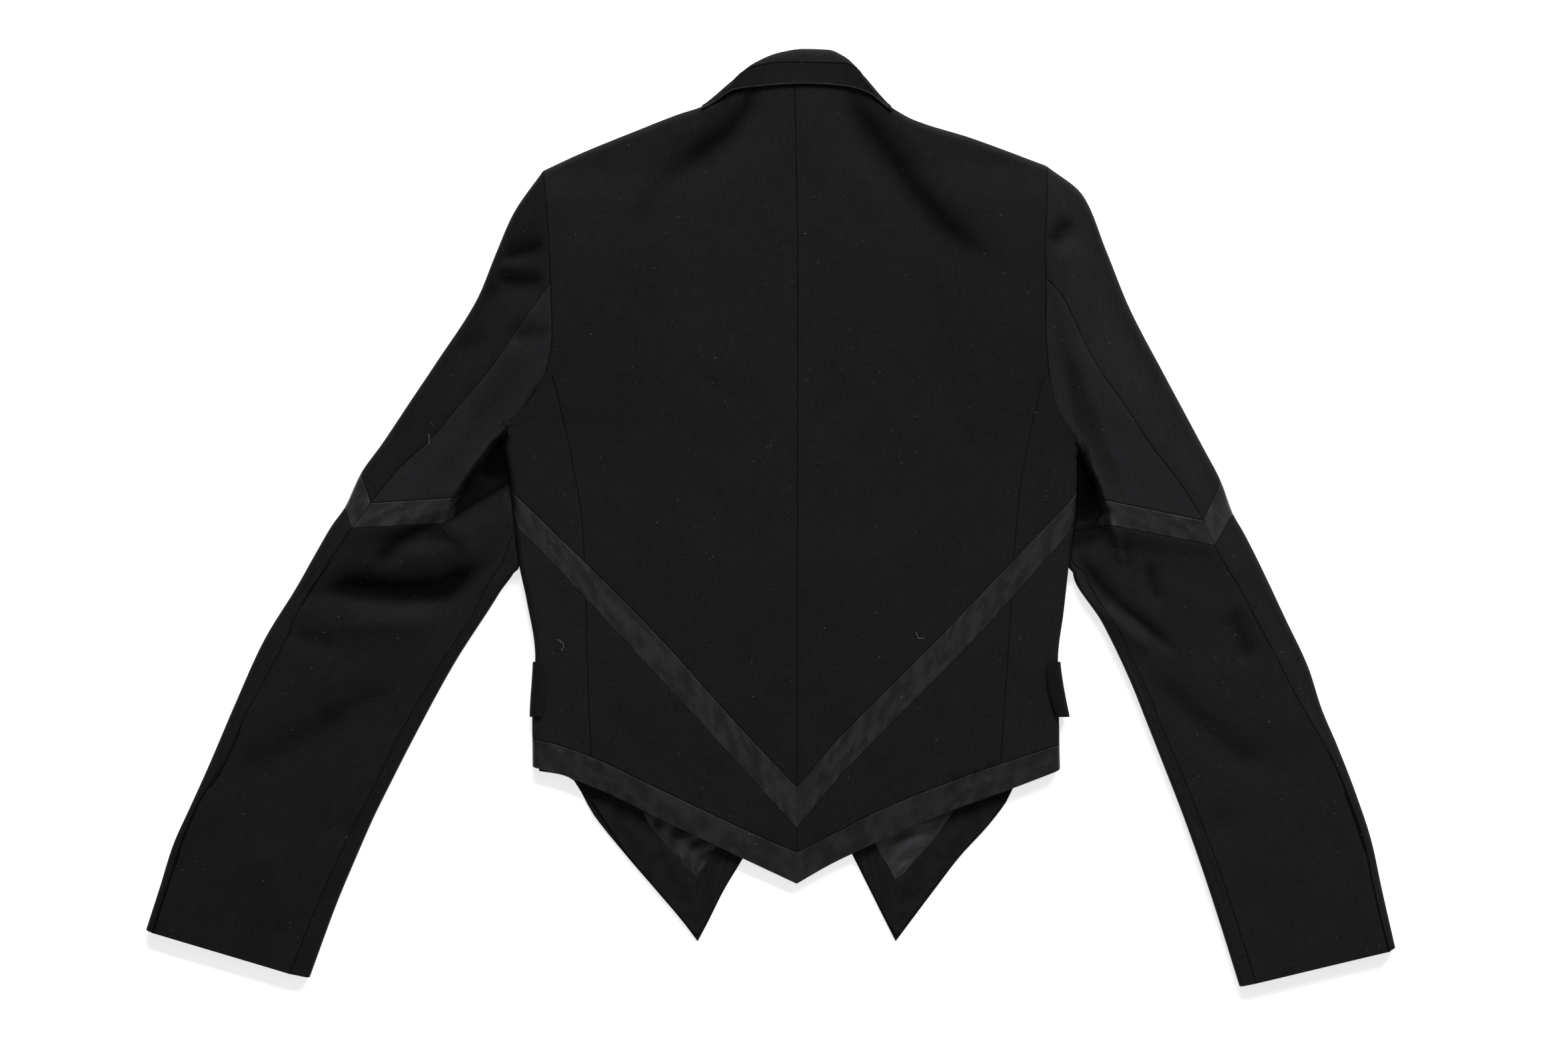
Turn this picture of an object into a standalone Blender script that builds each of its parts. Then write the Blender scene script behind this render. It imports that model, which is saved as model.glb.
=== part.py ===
"""A tailored jacket of black wool with satin bands, lying face down and flat.

Its back faces up. X runs across the shoulders, Y from the hem to the collar and Z up
from the surface it lies on. The origin is under the middle of its outline. Lengths in
the tables are millimetres; the meshes are in metres.
"""

import math
from collections import namedtuple

import bpy
import numpy as np

MM = 0.001
LEFT, RIGHT = "left", "right"
TOWARDS = {LEFT: -1.0, RIGHT: 1.0}

# Cloth
BODY_WALL = 1.8
SLEEVE_WALL = 1.5
COLLAR_WALL = 1.6
STAND_WALL = 1.2
FLAP_WALL = 1.3
FLAP_CLEARANCE = 0.7
VENT_CLEARANCE = 0.8
FACING_WALL = 1.2
LAPEL_WALL = 2.0
SEAM_GAP = 0.3
CUT_DIRECTION = np.array([1.0, 0.37, 0.11])
LAYER_GAP = 0.35
FLAP_MARGIN = 8.0
FLAP_RAMP = 16.0

# Rolled edges: how far a fold turns under, and how wide the turn is seen from above
SIDE_TURN = math.radians(150.0)
SHOULDER_TURN = math.radians(135.0)
COLLAR_TURN = math.radians(105.0)
SIDE_ROLL = 5.0
SHOULDER_ROLL = 6.0
COLLAR_ROLL = 4.5

EdgeRow = namedtuple("EdgeRow", "y x height")
LineRow = namedtuple("LineRow", "at value")
Fold = namedtuple("Fold", "start end width rise")
Ring = namedtuple(
    "Ring",
    "outer back_seam inner_fold inner_edge outer_z seam_z fold_z edge_z under_seam",
)

# Outline of the back's two sides: the armhole from the shoulder tip down to the
# underarm, then the side fold down to the hem. Height is the cloth's, above the ground.
SIDE_EDGE = {
    LEFT: [
        EdgeRow(271.4, -177.6, 16.0),
        EdgeRow(242.0, -174.5, 19.0),
        EdgeRow(213.0, -172.6, 19.0),
        EdgeRow(181.0, -171.3, 18.0),
        EdgeRow(144.0, -170.4, 16.5),
        EdgeRow(125.0, -172.6, 15.5),
        EdgeRow(103.0, -180.5, 14.0),
        EdgeRow(82.0, -195.8, 12.5),
        EdgeRow(70.0, -204.6, 11.5),
        EdgeRow(52.5, -207.2, 11.0),
        EdgeRow(29.6, -203.7, 10.5),
        EdgeRow(-35.4, -196.8, 10.5),
        EdgeRow(-63.5, -190.9, 10.0),
        EdgeRow(-108.7, -184.0, 10.0),
        EdgeRow(-156.0, -186.4, 9.5),
        EdgeRow(-200.0, -186.1, 9.0),
    ],
    RIGHT: [
        EdgeRow(275.2, 215.4, 16.0),
        EdgeRow(245.0, 215.0, 19.0),
        EdgeRow(215.0, 213.5, 19.0),
        EdgeRow(187.0, 214.0, 18.0),
        EdgeRow(157.5, 214.2, 17.0),
        EdgeRow(137.7, 214.8, 16.0),
        EdgeRow(111.7, 217.4, 14.5),
        EdgeRow(95.6, 220.2, 13.5),
        EdgeRow(79.5, 226.4, 12.5),
        EdgeRow(63.9, 234.3, 11.5),
        EdgeRow(50.9, 239.2, 11.0),
        EdgeRow(19.2, 238.9, 10.5),
        EdgeRow(-30.7, 233.6, 10.5),
        EdgeRow(-72.9, 229.1, 10.0),
        EdgeRow(-110.3, 224.6, 10.0),
        EdgeRow(-158.1, 225.4, 9.5),
        EdgeRow(-200.0, 226.4, 9.0),
    ],
}
CENTRE_SEAM = [
    LineRow(-290.0, 20.3),
    LineRow(196.5, 20.9),
    LineRow(336.4, 18.5),
    LineRow(352.5, 17.9),
]
CENTRE_HEIGHT = [
    LineRow(-290.0, 6.5),
    LineRow(-230.0, 8.5),
    LineRow(-120.0, 10.5),
    LineRow(80.0, 11.0),
    LineRow(260.0, 11.5),
    LineRow(350.0, 11.0),
]

# Curved side seams of the back: y, x
SIDE_SEAM = {
    LEFT: [
        LineRow(-209.1, -139.1),
        LineRow(-129.0, -142.8),
        LineRow(-11.5, -146.6),
        LineRow(48.3, -155.9),
        LineRow(96.1, -166.6),
        LineRow(120.1, -173.3),
    ],
    RIGHT: [
        LineRow(-209.1, 178.1),
        LineRow(-125.4, 183.9),
        LineRow(14.5, 193.5),
        LineRow(61.8, 201.5),
        LineRow(105.5, 211.4),
        LineRow(125.5, 216.0),
    ],
}

# Edges of the satin bands: distance from the centre seam along the cloth, y
V_TOP = {
    LEFT: [
        LineRow(0.0, -209.9),
        LineRow(41.3, -166.5),
        LineRow(111.0, -89.5),
        LineRow(191.6, -9.3),
        LineRow(240.0, 37.0),
    ],
    RIGHT: [
        LineRow(0.0, -209.9),
        LineRow(27.8, -177.1),
        LineRow(114.3, -89.5),
        LineRow(218.1, 18.9),
        LineRow(240.0, 41.5),
    ],
}
V_BOTTOM = {
    LEFT: [
        LineRow(0.0, -242.3),
        LineRow(69.2, -166.5),
        LineRow(140.5, -89.5),
        LineRow(188.6, -38.1),
        LineRow(240.0, 13.5),
    ],
    RIGHT: [
        LineRow(0.0, -242.3),
        LineRow(27.8, -208.5),
        LineRow(143.2, -89.5),
        LineRow(215.1, -8.9),
        LineRow(240.0, 19.0),
    ],
}
HEM_TOP = {
    LEFT: [
        LineRow(0.0, -261.0),
        LineRow(39.4, -243.7),
        LineRow(118.9, -205.9),
        LineRow(158.8, -187.0),
        LineRow(188.6, -176.4),
        LineRow(225.0, -168.5),
    ],
    RIGHT: [
        LineRow(0.0, -261.0),
        LineRow(27.8, -246.7),
        LineRow(67.5, -226.8),
        LineRow(127.2, -202.9),
        LineRow(167.1, -189.0),
        LineRow(225.0, -170.0),
    ],
}
HEM_BOTTOM = {
    LEFT: [
        LineRow(0.0, -285.5),
        LineRow(42.3, -265.6),
        LineRow(99.1, -238.7),
        LineRow(158.8, -209.9),
        LineRow(192.6, -197.5),
        LineRow(225.0, -191.0),
    ],
    RIGHT: [
        LineRow(0.0, -285.5),
        LineRow(27.8, -269.6),
        LineRow(59.6, -254.6),
        LineRow(122.3, -227.8),
        LineRow(171.0, -209.9),
        LineRow(225.0, -189.0),
    ],
}

# Shoulders, neck and collar seen from above: x, y
SHOULDER_LINE = [
    LineRow(-177.6, 271.4),
    LineRow(-149.3, 284.6),
    LineRow(-107.4, 301.8),
    LineRow(-71.0, 316.1),
    LineRow(-54.5, 321.5),
    LineRow(-29.4, 334.8),
    LineRow(-23.1, 341.1),
    LineRow(-3.4, 345.7),
    LineRow(20.0, 347.3),
    LineRow(46.0, 346.0),
    LineRow(65.8, 341.1),
    LineRow(79.8, 331.2),
    LineRow(94.9, 320.8),
    LineRow(111.5, 311.5),
    LineRow(157.1, 296.9),
    LineRow(215.4, 275.2),
]
NECK_LEFT, NECK_RIGHT = -23.1, 65.8
COLLAR_OUTLINE = [
    LineRow(-54.5, 321.5),
    LineRow(-39.9, 333.4),
    LineRow(-27.1, 344.3),
    LineRow(-12.5, 355.5),
    LineRow(7.0, 363.4),
    LineRow(25.7, 366.2),
    LineRow(45.0, 365.6),
    LineRow(57.7, 360.2),
    LineRow(67.7, 351.2),
    LineRow(84.1, 332.5),
    LineRow(95.1, 320.6),
]
COLLAR_SEAM = [
    LineRow(-27.1, 344.3),
    LineRow(-13.8, 351.7),
    LineRow(11.2, 355.3),
    LineRow(56.8, 354.3),
    LineRow(67.7, 349.6),
]
COLLAR_EDGE = [
    LineRow(-54.5, 318.3),
    LineRow(-40.0, 327.0),
    LineRow(-27.3, 334.0),
    LineRow(-9.1, 336.4),
    LineRow(27.6, 338.5),
    LineRow(56.8, 336.6),
    LineRow(75.0, 331.6),
    LineRow(95.1, 317.0),
]
COLLAR_LEFT, COLLAR_RIGHT = -54.0, 94.6
STAND_LEFT, STAND_RIGHT = -15.0, 63.0
FALL_LOW = 3.0
NAPE_RISE = 1.4

# Sleeves: a ring for each section, from the underarm to the cuff. The section before
# the first ring is the armhole itself. Each mark is a place seen from above.
SLEEVE_CAP = {
    LEFT: [
        Ring((-201.0, 238.1), (-185.4, 163.7), (-202.8, 79.8), (-206.2, 69.3), 14, 21, 12, 11, 2.9),
        Ring((-214.5, 207.4), (-199.4, 143.5), (-206.0, 77.6), (-206.9, 68.0), 13, 21, 12, 11, 2.9),
        Ring((-229.1, 172.1), (-215.0, 120.1), (-210.5, 75.0), (-207.4, 65.8), 12, 20, 12, 10, 2.9),
        Ring((-260.8, 122.7), (-239.5, 91.5), (-218.0, 59.5), (-207.9, 62.2), 11, 18, 12, 8, 2.9),
        Ring((-282.1, 90.9), (-264.9, 61.8), (-227.5, 43.6), (-208.2, 57.6), 11, 16, 14, 6, 2.9),
        Ring((-303.2, 59.2), (-288.9, 39.5), (-236.9, 29.6), (-208.2, 51.2), 11, 15, 15, 5.5, 2.9),
    ],
    RIGHT: [
        Ring((243.6, 252.7), (225.4, 174.7), (238.4, 65.2), (240.0, 54.2), 14, 21, 12, 11, 2.9),
        Ring((262.3, 209.0), (237.4, 151.3), (240.9, 62.8), (240.6, 52.6), 13, 21, 12, 11, 2.9),
        Ring((280.0, 165.3), (251.4, 123.2), (243.8, 60.2), (240.8, 50.2), 12, 20, 12, 10, 2.9),
        Ring((306.0, 115.4), (277.9, 84.7), (248.2, 54.0), (240.8, 46.0), 11, 18, 12, 8, 2.9),
        Ring((321.9, 85.7), (296.7, 56.1), (251.3, 44.0), (240.6, 36.9), 11, 16, 12, 7.5, 2.9),
        Ring((337.7, 56.1), (318.0, 28.5), (254.5, 28.5), (240.3, 23.9), 11, 15, 13, 7, 2.9),
    ],
}
SLEEVE_BAND = {
    LEFT: [
        Ring((-320.3, 35.2), (-311.7, 11.9), (-245.7, 16.1), (-206.9, 41.8), 11, 14, 15, 5.5, 2.9),
        Ring((-333.0, 8.5), (-326.8, -7.9), (-255.9, -4.3), (-204.8, 28.9), 11, 14, 14, 5.5, 2.9),
    ],
    RIGHT: [
        Ring((352.0, 28.8), (337.0, -1.6), (260.3, 14.3), (239.4, 8.3), 11, 14, 14, 6, 2.9),
        Ring((361.3, 3.8), (346.3, -21.4), (266.0, -5.8), (237.4, -10.4), 11, 14, 14, 6, 2.9),
    ],
}
FOREARM = {
    LEFT: [
        Ring((-342.9, -5.3), (-335.1, -20.3), (-242.6, -19.3), (-202.0, 1.5), 11, 13, 11, 7, 2.6),
        Ring((-355.9, -27.6), (-346.6, -36.5), (-214.0, -31.3), (-198.2, -33.3), 11, 12, 9, 8, 2.0),
        Ring((-370.0, -52.6), (-361.7, -58.3), (-224.9, -59.9), (-212.4, -58.8), 10, 12, 9, 8.5, 2.0),
        Ring((-396.5, -96.0), (-383.5, -105.1), (-258.2, -115.0), (-246.7, -112.4), 10, 12, 10, 9, 2.0),
        Ring((-419.6, -147.1), (-407.4, -148.8), (-288.9, -167.5), (-276.9, -167.5), 10, 12, 10, 9, 2.0),
        Ring((-439.7, -194.2), (-429.4, -195.9), (-310.2, -210.5), (-297.6, -207.9), 10, 11, 10, 9, 2.0),
        Ring((-453.7, -225.2), (-444.9, -220.4), (-324.2, -237.6), (-311.2, -235.6), 9.5, 11, 10, 9, 2.0),
        Ring((-467.5, -255.9), (-458.9, -253.1), (-339.3, -268.8), (-324.6, -266.2), 9, 10, 10, 9, 2.0),
        Ring((-477.4, -287.5), (-470.3, -287.5), (-353.3, -300.0), (-338.6, -299.5), 8.5, 10, 9, 8.5, 2.0),
        Ring((-488.4, -321.6), (-482.0, -324.0), (-375.7, -355.7), (-360.5, -358.9), 8.5, 9, 9, 8.5, 2.0),
    ],
    RIGHT: [
        Ring((370.0, -11.5), (353.3, -34.4), (262.1, -24.3), (235.6, -28.1), 11, 13, 11, 7, 2.5),
        Ring((383.4, -38.0), (366.9, -56.7), (253.4, -47.9), (236.4, -43.7), 11, 12, 9, 8, 2.0),
        Ring((402.0, -77.4), (387.7, -95.2), (272.2, -89.4), (259.2, -81.7), 10, 12, 9, 8.5, 2.0),
        Ring((420.5, -116.9), (406.9, -133.2), (294.1, -134.7), (281.6, -128.5), 10, 12, 10, 9, 2.0),
        Ring((430.8, -148.8), (419.4, -155.5), (305.4, -164.0), (293.4, -158.1), 10, 12, 10, 9, 2.0),
        Ring((443.3, -178.3), (434.5, -182.0), (318.9, -194.5), (306.5, -191.4), 10, 11, 10, 9, 2.0),
        Ring((458.4, -217.4), (450.8, -218.4), (334.6, -233.5), (322.1, -231.5), 9.5, 11, 10, 9, 2.0),
        Ring((469.9, -252.6), (462.9, -253.7), (349.2, -271.5), (336.2, -271.0), 9, 10, 10, 9, 2.0),
        Ring((477.9, -289.5), (470.7, -291.1), (362.7, -311.9), (348.9, -309.3), 8.5, 10, 9, 8.5, 2.0),
        Ring((488.4, -335.6), (482.3, -338.6), (378.8, -363.3), (366.6, -365.9), 8.5, 9, 9, 8.5, 2.0),
    ],
}
ARMHOLE_SEAM_Y = {LEFT: 183.0, RIGHT: 187.0}
ARMHOLE_FOLD = 12.0
UNDERARM_Y = {LEFT: 70.0, RIGHT: 55.0}
SHOULDER_TIP_Y = {LEFT: 271.4, RIGHT: 275.2}
SIDE_PANEL_TOP = {LEFT: 111.0, RIGHT: 108.0}
PANEL_CORNER = 4.0
ARMHOLE_BEND = 160.0

# Largest folds: from, to, half width, rise above the cloth round it
BODY_FOLDS = [
    Fold((-34.0, 302.0), (-62.0, 286.0), 16.0, -2.0),
    Fold((-20.0, 322.0), (-42.0, 330.0), 14.0, 2.0),
    Fold((66.0, 322.0), (112.0, 268.0), 15.0, -2.2),
    Fold((112.0, 268.0), (157.0, 215.0), 15.0, -1.6),
    Fold((-64.0, 115.0), (-14.0, 90.0), 12.0, -0.8),
    Fold((75.0, 108.0), (22.0, 65.0), 12.0, -0.8),
]
SLEEVE_FOLDS = [
    Fold((-203.0, 210.0), (-183.0, 214.0), 12.0, -1.5),
    Fold((-221.0, -36.0), (-256.0, -56.0), 11.0, -3.2),
    Fold((-256.0, -56.0), (-356.0, -57.0), 11.0, -3.0),
    Fold((-300.0, -38.0), (-252.0, -10.0), 11.0, -2.0),
    Fold((-330.0, -80.0), (-270.0, -80.0), 14.0, 2.0),
    Fold((-426.0, -201.0), (-358.0, -167.0), 20.0, -1.5),
    Fold((-358.0, -167.0), (-322.0, -151.0), 20.0, -1.4),
    Fold((-400.0, -250.0), (-372.0, -320.0), 24.0, 1.4),
    Fold((220.0, 221.0), (236.0, 236.0), 12.0, -2.0),
    Fold((242.0, -32.0), (290.0, -82.0), 10.0, -3.0),
    Fold((290.0, -82.0), (330.0, -110.0), 10.0, -3.0),
    Fold((295.0, -38.0), (301.0, -66.0), 11.0, -2.6),
    Fold((358.0, -70.0), (376.0, -114.0), 12.0, -1.6),
    Fold((262.0, -64.0), (300.0, -100.0), 12.0, 1.6),
    Fold((287.0, -115.0), (335.0, -156.0), 16.0, -1.6),
    Fold((335.0, -156.0), (397.0, -196.0), 18.0, -1.5),
]

# Fronts, lying on the ground: y, x of the inner edge
FRONT_EDGE = {
    LEFT: [
        LineRow(-331.0, -57.2),
        LineRow(-318.0, -50.2),
        LineRow(-290.5, -36.4),
        LineRow(-265.8, -21.6),
        LineRow(-230.9, -2.0),
        LineRow(-188.3, 17.0),
        LineRow(-120.0, 31.0),
        LineRow(-12.0, 31.0),
        LineRow(18.0, 12.0),
        LineRow(262.0, -16.0),
        LineRow(335.0, -29.0),
    ],
    RIGHT: [
        LineRow(-331.0, 97.8),
        LineRow(-312.4, 88.4),
        LineRow(-288.5, 76.5),
        LineRow(-264.6, 64.5),
        LineRow(-232.5, 47.0),
        LineRow(-188.3, 24.0),
        LineRow(-120.0, 9.0),
        LineRow(-12.0, 9.0),
        LineRow(18.0, 28.0),
        LineRow(262.0, 57.0),
        LineRow(335.0, 72.0),
    ],
}
FRONT_HEM = {
    LEFT: [
        LineRow(-186.0, -197.0),
        LineRow(-157.8, -202.3),
        LineRow(-138.1, -232.8),
        LineRow(-114.1, -262.7),
        LineRow(-90.2, -290.5),
        LineRow(-68.4, -316.2),
        LineRow(-57.2, -331.0),
    ],
    RIGHT: [
        LineRow(97.8, -331.0),
        LineRow(110.3, -314.3),
        LineRow(128.2, -290.5),
        LineRow(148.1, -264.6),
        LineRow(170.0, -240.7),
        LineRow(183.8, -222.8),
        LineRow(196.0, -202.0),
        LineRow(226.0, -197.0),
    ],
}
CLOSURE_EDGE = 9.0
CLOSURE_TOP, CLOSURE_BOTTOM = 60.0, -207.0
LAPEL_LIFT_START, LAPEL_LIFT_END = 8.0, 36.0
SHOULDER_GAP = 5.2
FRONT_COLUMNS = [0.0, 0.065, 0.14, 0.195, 0.31, 0.447, 0.52, 0.68, 0.84, 1.0]
FRONT_LEVELS = [-181.0, -163.0, -104.0, -86.0, -12.0, 8.0, 18.0, 36.0, 160.0]
FRONT_ROWS = [3, 1, 2, 1, 2, 1, 1, 1, 3, 5]

# Facing and lining that show at the front points: pairs of places, outside and inside
POINT_FACING = {
    LEFT: [
        ((-140.0, -221.0), (-114.0, -203.0)),
        ((-114.1, -260.0), (-96.0, -238.0)),
        ((-90.2, -288.5), (-76.0, -264.0)),
        ((-70.4, -311.5), (-65.5, -276.2)),
        ((-58.0, -326.5), (-58.5, -279.6)),
        ((-49.8, -313.0), (-52.0, -271.5)),
        ((-38.4, -290.5), (-42.5, -257.0)),
        ((-24.6, -268.0), (-30.5, -240.5)),
        ((-14.0, -248.0), (-22.5, -227.0)),
    ],
    RIGHT: [
        ((182.0, -222.0), (155.0, -203.0)),
        ((168.0, -241.0), (141.5, -231.5)),
        ((146.4, -264.6), (127.8, -250.5)),
        ((127.0, -289.0), (112.5, -272.5)),
        ((110.0, -311.5), (103.5, -280.5)),
        ((98.6, -326.5), (97.5, -281.4)),
        ((90.2, -312.4), (91.0, -275.5)),
        ((78.3, -288.5), (83.0, -257.0)),
        ((66.5, -264.6), (74.5, -236.0)),
        ((54.0, -241.0), (66.0, -217.0)),
    ],
}

# What lies under the fronts and lifts them: the lapel, y against x from the roll line
# outwards, and the front of the collar above it
LAPEL = {
    LEFT: [
        LineRow(52.0, (8.0, 10.5)),
        LineRow(120.0, (-30.0, 3.0)),
        LineRow(200.0, (-72.0, -8.0)),
        LineRow(262.0, (-100.0, -17.5)),
        LineRow(292.0, (-92.0, -22.5)),
    ],
    RIGHT: [
        LineRow(52.0, (33.5, 31.0)),
        LineRow(120.0, (71.0, 37.5)),
        LineRow(200.0, (113.0, 49.0)),
        LineRow(262.0, (141.0, 58.5)),
        LineRow(292.0, (133.0, 64.0)),
    ],
}
FRONT_COLLAR = {
    LEFT: [
        LineRow(-92.0, (292.4, 299.0)),
        LineRow(-62.0, (292.4, 311.5)),
        LineRow(-40.0, (292.4, 329.5)),
        LineRow(-26.0, (292.4, 341.5)),
    ],
    RIGHT: [
        LineRow(133.0, (292.4, 299.0)),
        LineRow(103.0, (292.4, 308.5)),
        LineRow(82.0, (292.4, 330.5)),
        LineRow(68.0, (292.4, 346.0)),
    ],
}

# Pocket flaps: y of the top and bottom edge, reach onto the back, run under the front
FLAP_TOP, FLAP_BOTTOM = -112.0, -155.0
FLAP_REACH = [
    LineRow(-155.0, 2.5),
    LineRow(-150.0, 4.6),
    LineRow(-136.0, 5.6),
    LineRow(-119.0, 5.4),
    LineRow(-112.0, 3.6),
]
FLAP_RUN = 96.0
FLAP_FLARE = {LEFT: 0.0, RIGHT: 6.5}
VENT_SHARE = 0.2
VENT_ROWS = 4


def smooth_step(t):
    """Eased ramp from 0 to 1."""
    t = np.clip(t, 0.0, 1.0)
    return t * t * (3.0 - 2.0 * t)


def lerp(a, b, t):
    return a + (b - a) * t


def tangents(knots, values):
    """Slopes of a smooth curve through the knots that never swings past them."""
    steps = np.diff(knots)
    slopes = np.diff(values, axis=0) / steps.reshape((-1,) + (1,) * (values.ndim - 1))
    before, after = slopes[:-1], slopes[1:]
    same_way = before * after > 0.0
    total = np.where(same_way, before + after, 1.0)
    middle = np.where(same_way, 2.0 * before * after / total, 0.0)
    return np.concatenate([slopes[:1], middle, slopes[-1:]])


def blend_rows(knots, values, at):
    """Values at the places asked for. values has a leading axis of rows, and any
    further axes match those of the places."""
    at = np.clip(at, knots[0], knots[-1])
    index = np.clip(np.searchsorted(knots, at, side="right") - 1, 0, len(knots) - 2)
    slopes = tangents(knots, values)
    width = knots[index + 1] - knots[index]
    t = (at - knots[index]) / width
    if values.ndim > 1:
        pick = np.indices(index.shape)
        start, end = values[(index, *pick)], values[(index + 1, *pick)]
        lead, trail = slopes[(index, *pick)], slopes[(index + 1, *pick)]
        t, width = (a.reshape(a.shape + (1,) * (start.ndim - a.ndim)) for a in (t, width))
    else:
        start, end, lead, trail = values[index], values[index + 1], slopes[index], slopes[index + 1]
    t2, t3 = t * t, t * t * t
    return (
        (2 * t3 - 3 * t2 + 1) * start
        + (t3 - 2 * t2 + t) * width * lead
        + (3 * t2 - 2 * t3) * end
        + (t3 - t2) * width * trail
    )


def line_value(rows, at):
    """A table of LineRow read at any places."""
    ordered = sorted(rows)
    knots = np.array([row.at for row in ordered])
    values = np.array([row.value for row in ordered], float)
    return blend_rows(knots, values, np.asarray(at, float))


def fold_height(folds, x, y):
    """Rise of the soft folds at a place. Each is a rounded ridge or trough."""
    total = np.zeros(np.shape(x))
    for fold in folds:
        start, end = np.array(fold.start), np.array(fold.end)
        along = end - start
        length = np.hypot(*along)
        t = ((x - start[0]) * along[0] + (y - start[1]) * along[1]) / length**2
        beyond = np.maximum(np.maximum(-t, t - 1.0), 0.0) * length
        across = ((x - start[0]) * along[1] - (y - start[1]) * along[0]) / length
        total = total + fold.rise * np.exp(-((across**2 + beyond**2) / fold.width**2))
    return total


class Body:
    """The back's outer face on one side. A place is (distance from the centre seam
    along the cloth, y); past a fold the distance goes on round it."""

    def __init__(self, side):
        self.side = side
        self.towards = TOWARDS[side]
        rows = sorted(SIDE_EDGE[side])
        self.edge_y = np.array([row.y for row in rows])
        self.edge_values = np.array([(row.x, row.height) for row in rows])

    def edge(self, y):
        return blend_rows(self.edge_y, self.edge_values[:, 0], y)

    def edge_height(self, y):
        return blend_rows(self.edge_y, self.edge_values[:, 1], y)

    def centre(self, y):
        return line_value(CENTRE_SEAM, y)

    def seam_reach(self, y):
        """Distance from the centre seam to the curved side seam, or to the armhole
        above the side panel."""
        seam = np.abs(line_value(SIDE_SEAM[self.side], y) - self.centre(y))
        armhole = np.abs(self.edge(y) - self.centre(y))
        above = np.clip((y - SIDE_PANEL_TOP[self.side]) / PANEL_CORNER, 0.0, 1.0)
        return lerp(seam, armhole, above)

    def turn(self, y):
        """Angle the cloth turns at the side fold: none at the underarm, where it is sewn
        to the sleeve, growing down the fold."""
        return SIDE_TURN * smooth_step((UNDERARM_Y[self.side] - y) / 16.0)

    def ground_lift(self, y):
        """Height of what lies under the side fold: the pocket flap."""
        return (FLAP_WALL + FLAP_CLEARANCE + 0.1) * flap_nearness(y)

    def flat_reach(self, y):
        return np.abs(self.edge(y) - self.centre(y)) - plan_depth(SIDE_ROLL, self.turn(y))

    def roll_radius(self, y):
        return (SIDE_ROLL + self.edge_height(y) / 2.0) / 2.0

    def full_reach(self, y):
        """Distance along the cloth to the end of the turn at the side fold."""
        return self.flat_reach(y) + self.turn(y) * self.roll_radius(y)

    def knee_reach(self, y):
        """Where the closer columns of a panel begin."""
        return np.minimum(self.flat_reach(y), self.full_reach(y) - 4.0)

    def height(self, x, y):
        share = np.abs(x - self.centre(y)) / np.abs(self.edge(y) - self.centre(y))
        calm = smooth_step((1.0 - share) * 12.0)
        level = lerp(line_value(CENTRE_HEIGHT, y), self.edge_height(y), smooth_step(share))
        return level + fold_height(BODY_FOLDS, x, y) * calm

    def shoulder_turn(self, x):
        """Angle the cloth turns at the shoulder, none along the neck seam."""
        beyond = smooth_step((NECK_LEFT - x) / 26.0) + smooth_step((x - NECK_RIGHT) / 26.0)
        return SHOULDER_TURN * beyond

    def shoulder_flat(self, x):
        return line_value(SHOULDER_LINE, x) - plan_depth(SHOULDER_ROLL, self.shoulder_turn(x))

    def shoulder_end(self, x):
        radius = (SHOULDER_ROLL + self.height(x, self.shoulder_flat(x)) / 2.0) / 2.0
        return self.shoulder_flat(x) + self.shoulder_turn(x) * radius

    def shoulder_knee(self, x):
        return np.minimum(self.shoulder_flat(x), self.shoulder_end(x) - 4.0)

    def point(self, reach, y):
        """Places on the outer face, as an array of x, y, z."""
        flat_reach = self.flat_reach(y)
        over_side = np.maximum(reach - flat_reach, 0.0)
        angle = np.where(self.turn(y) > 0, over_side / self.roll_radius(y), 0.0)
        beyond = np.where(self.turn(y) > 0, SIDE_ROLL * np.sin(angle), over_side)
        x = self.centre(y) + self.towards * (np.minimum(reach, flat_reach) + beyond)
        x_flat = self.centre(y) + self.towards * np.minimum(reach, flat_reach)
        flat_y = self.shoulder_flat(x_flat)
        over_top = np.maximum(y - flat_y, 0.0)
        place_y = np.minimum(y, flat_y)
        top = self.height(x_flat, place_y)
        low = self.ground_lift(place_y)
        z = low + (top - low) / 2.0 * (1.0 + np.cos(angle))
        turns = self.shoulder_turn(x_flat) > 0
        bend = np.where(turns, over_top / ((SHOULDER_ROLL + top / 2.0) / 2.0), 0.0)
        turned_y = place_y + np.where(turns, SHOULDER_ROLL * np.sin(bend), over_top)
        turned_z = top / 2.0 * (1.0 + np.cos(bend))
        rolled = over_top > 0
        return np.stack([x, np.where(rolled, turned_y, y), np.where(rolled, turned_z, z)], -1)


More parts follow.
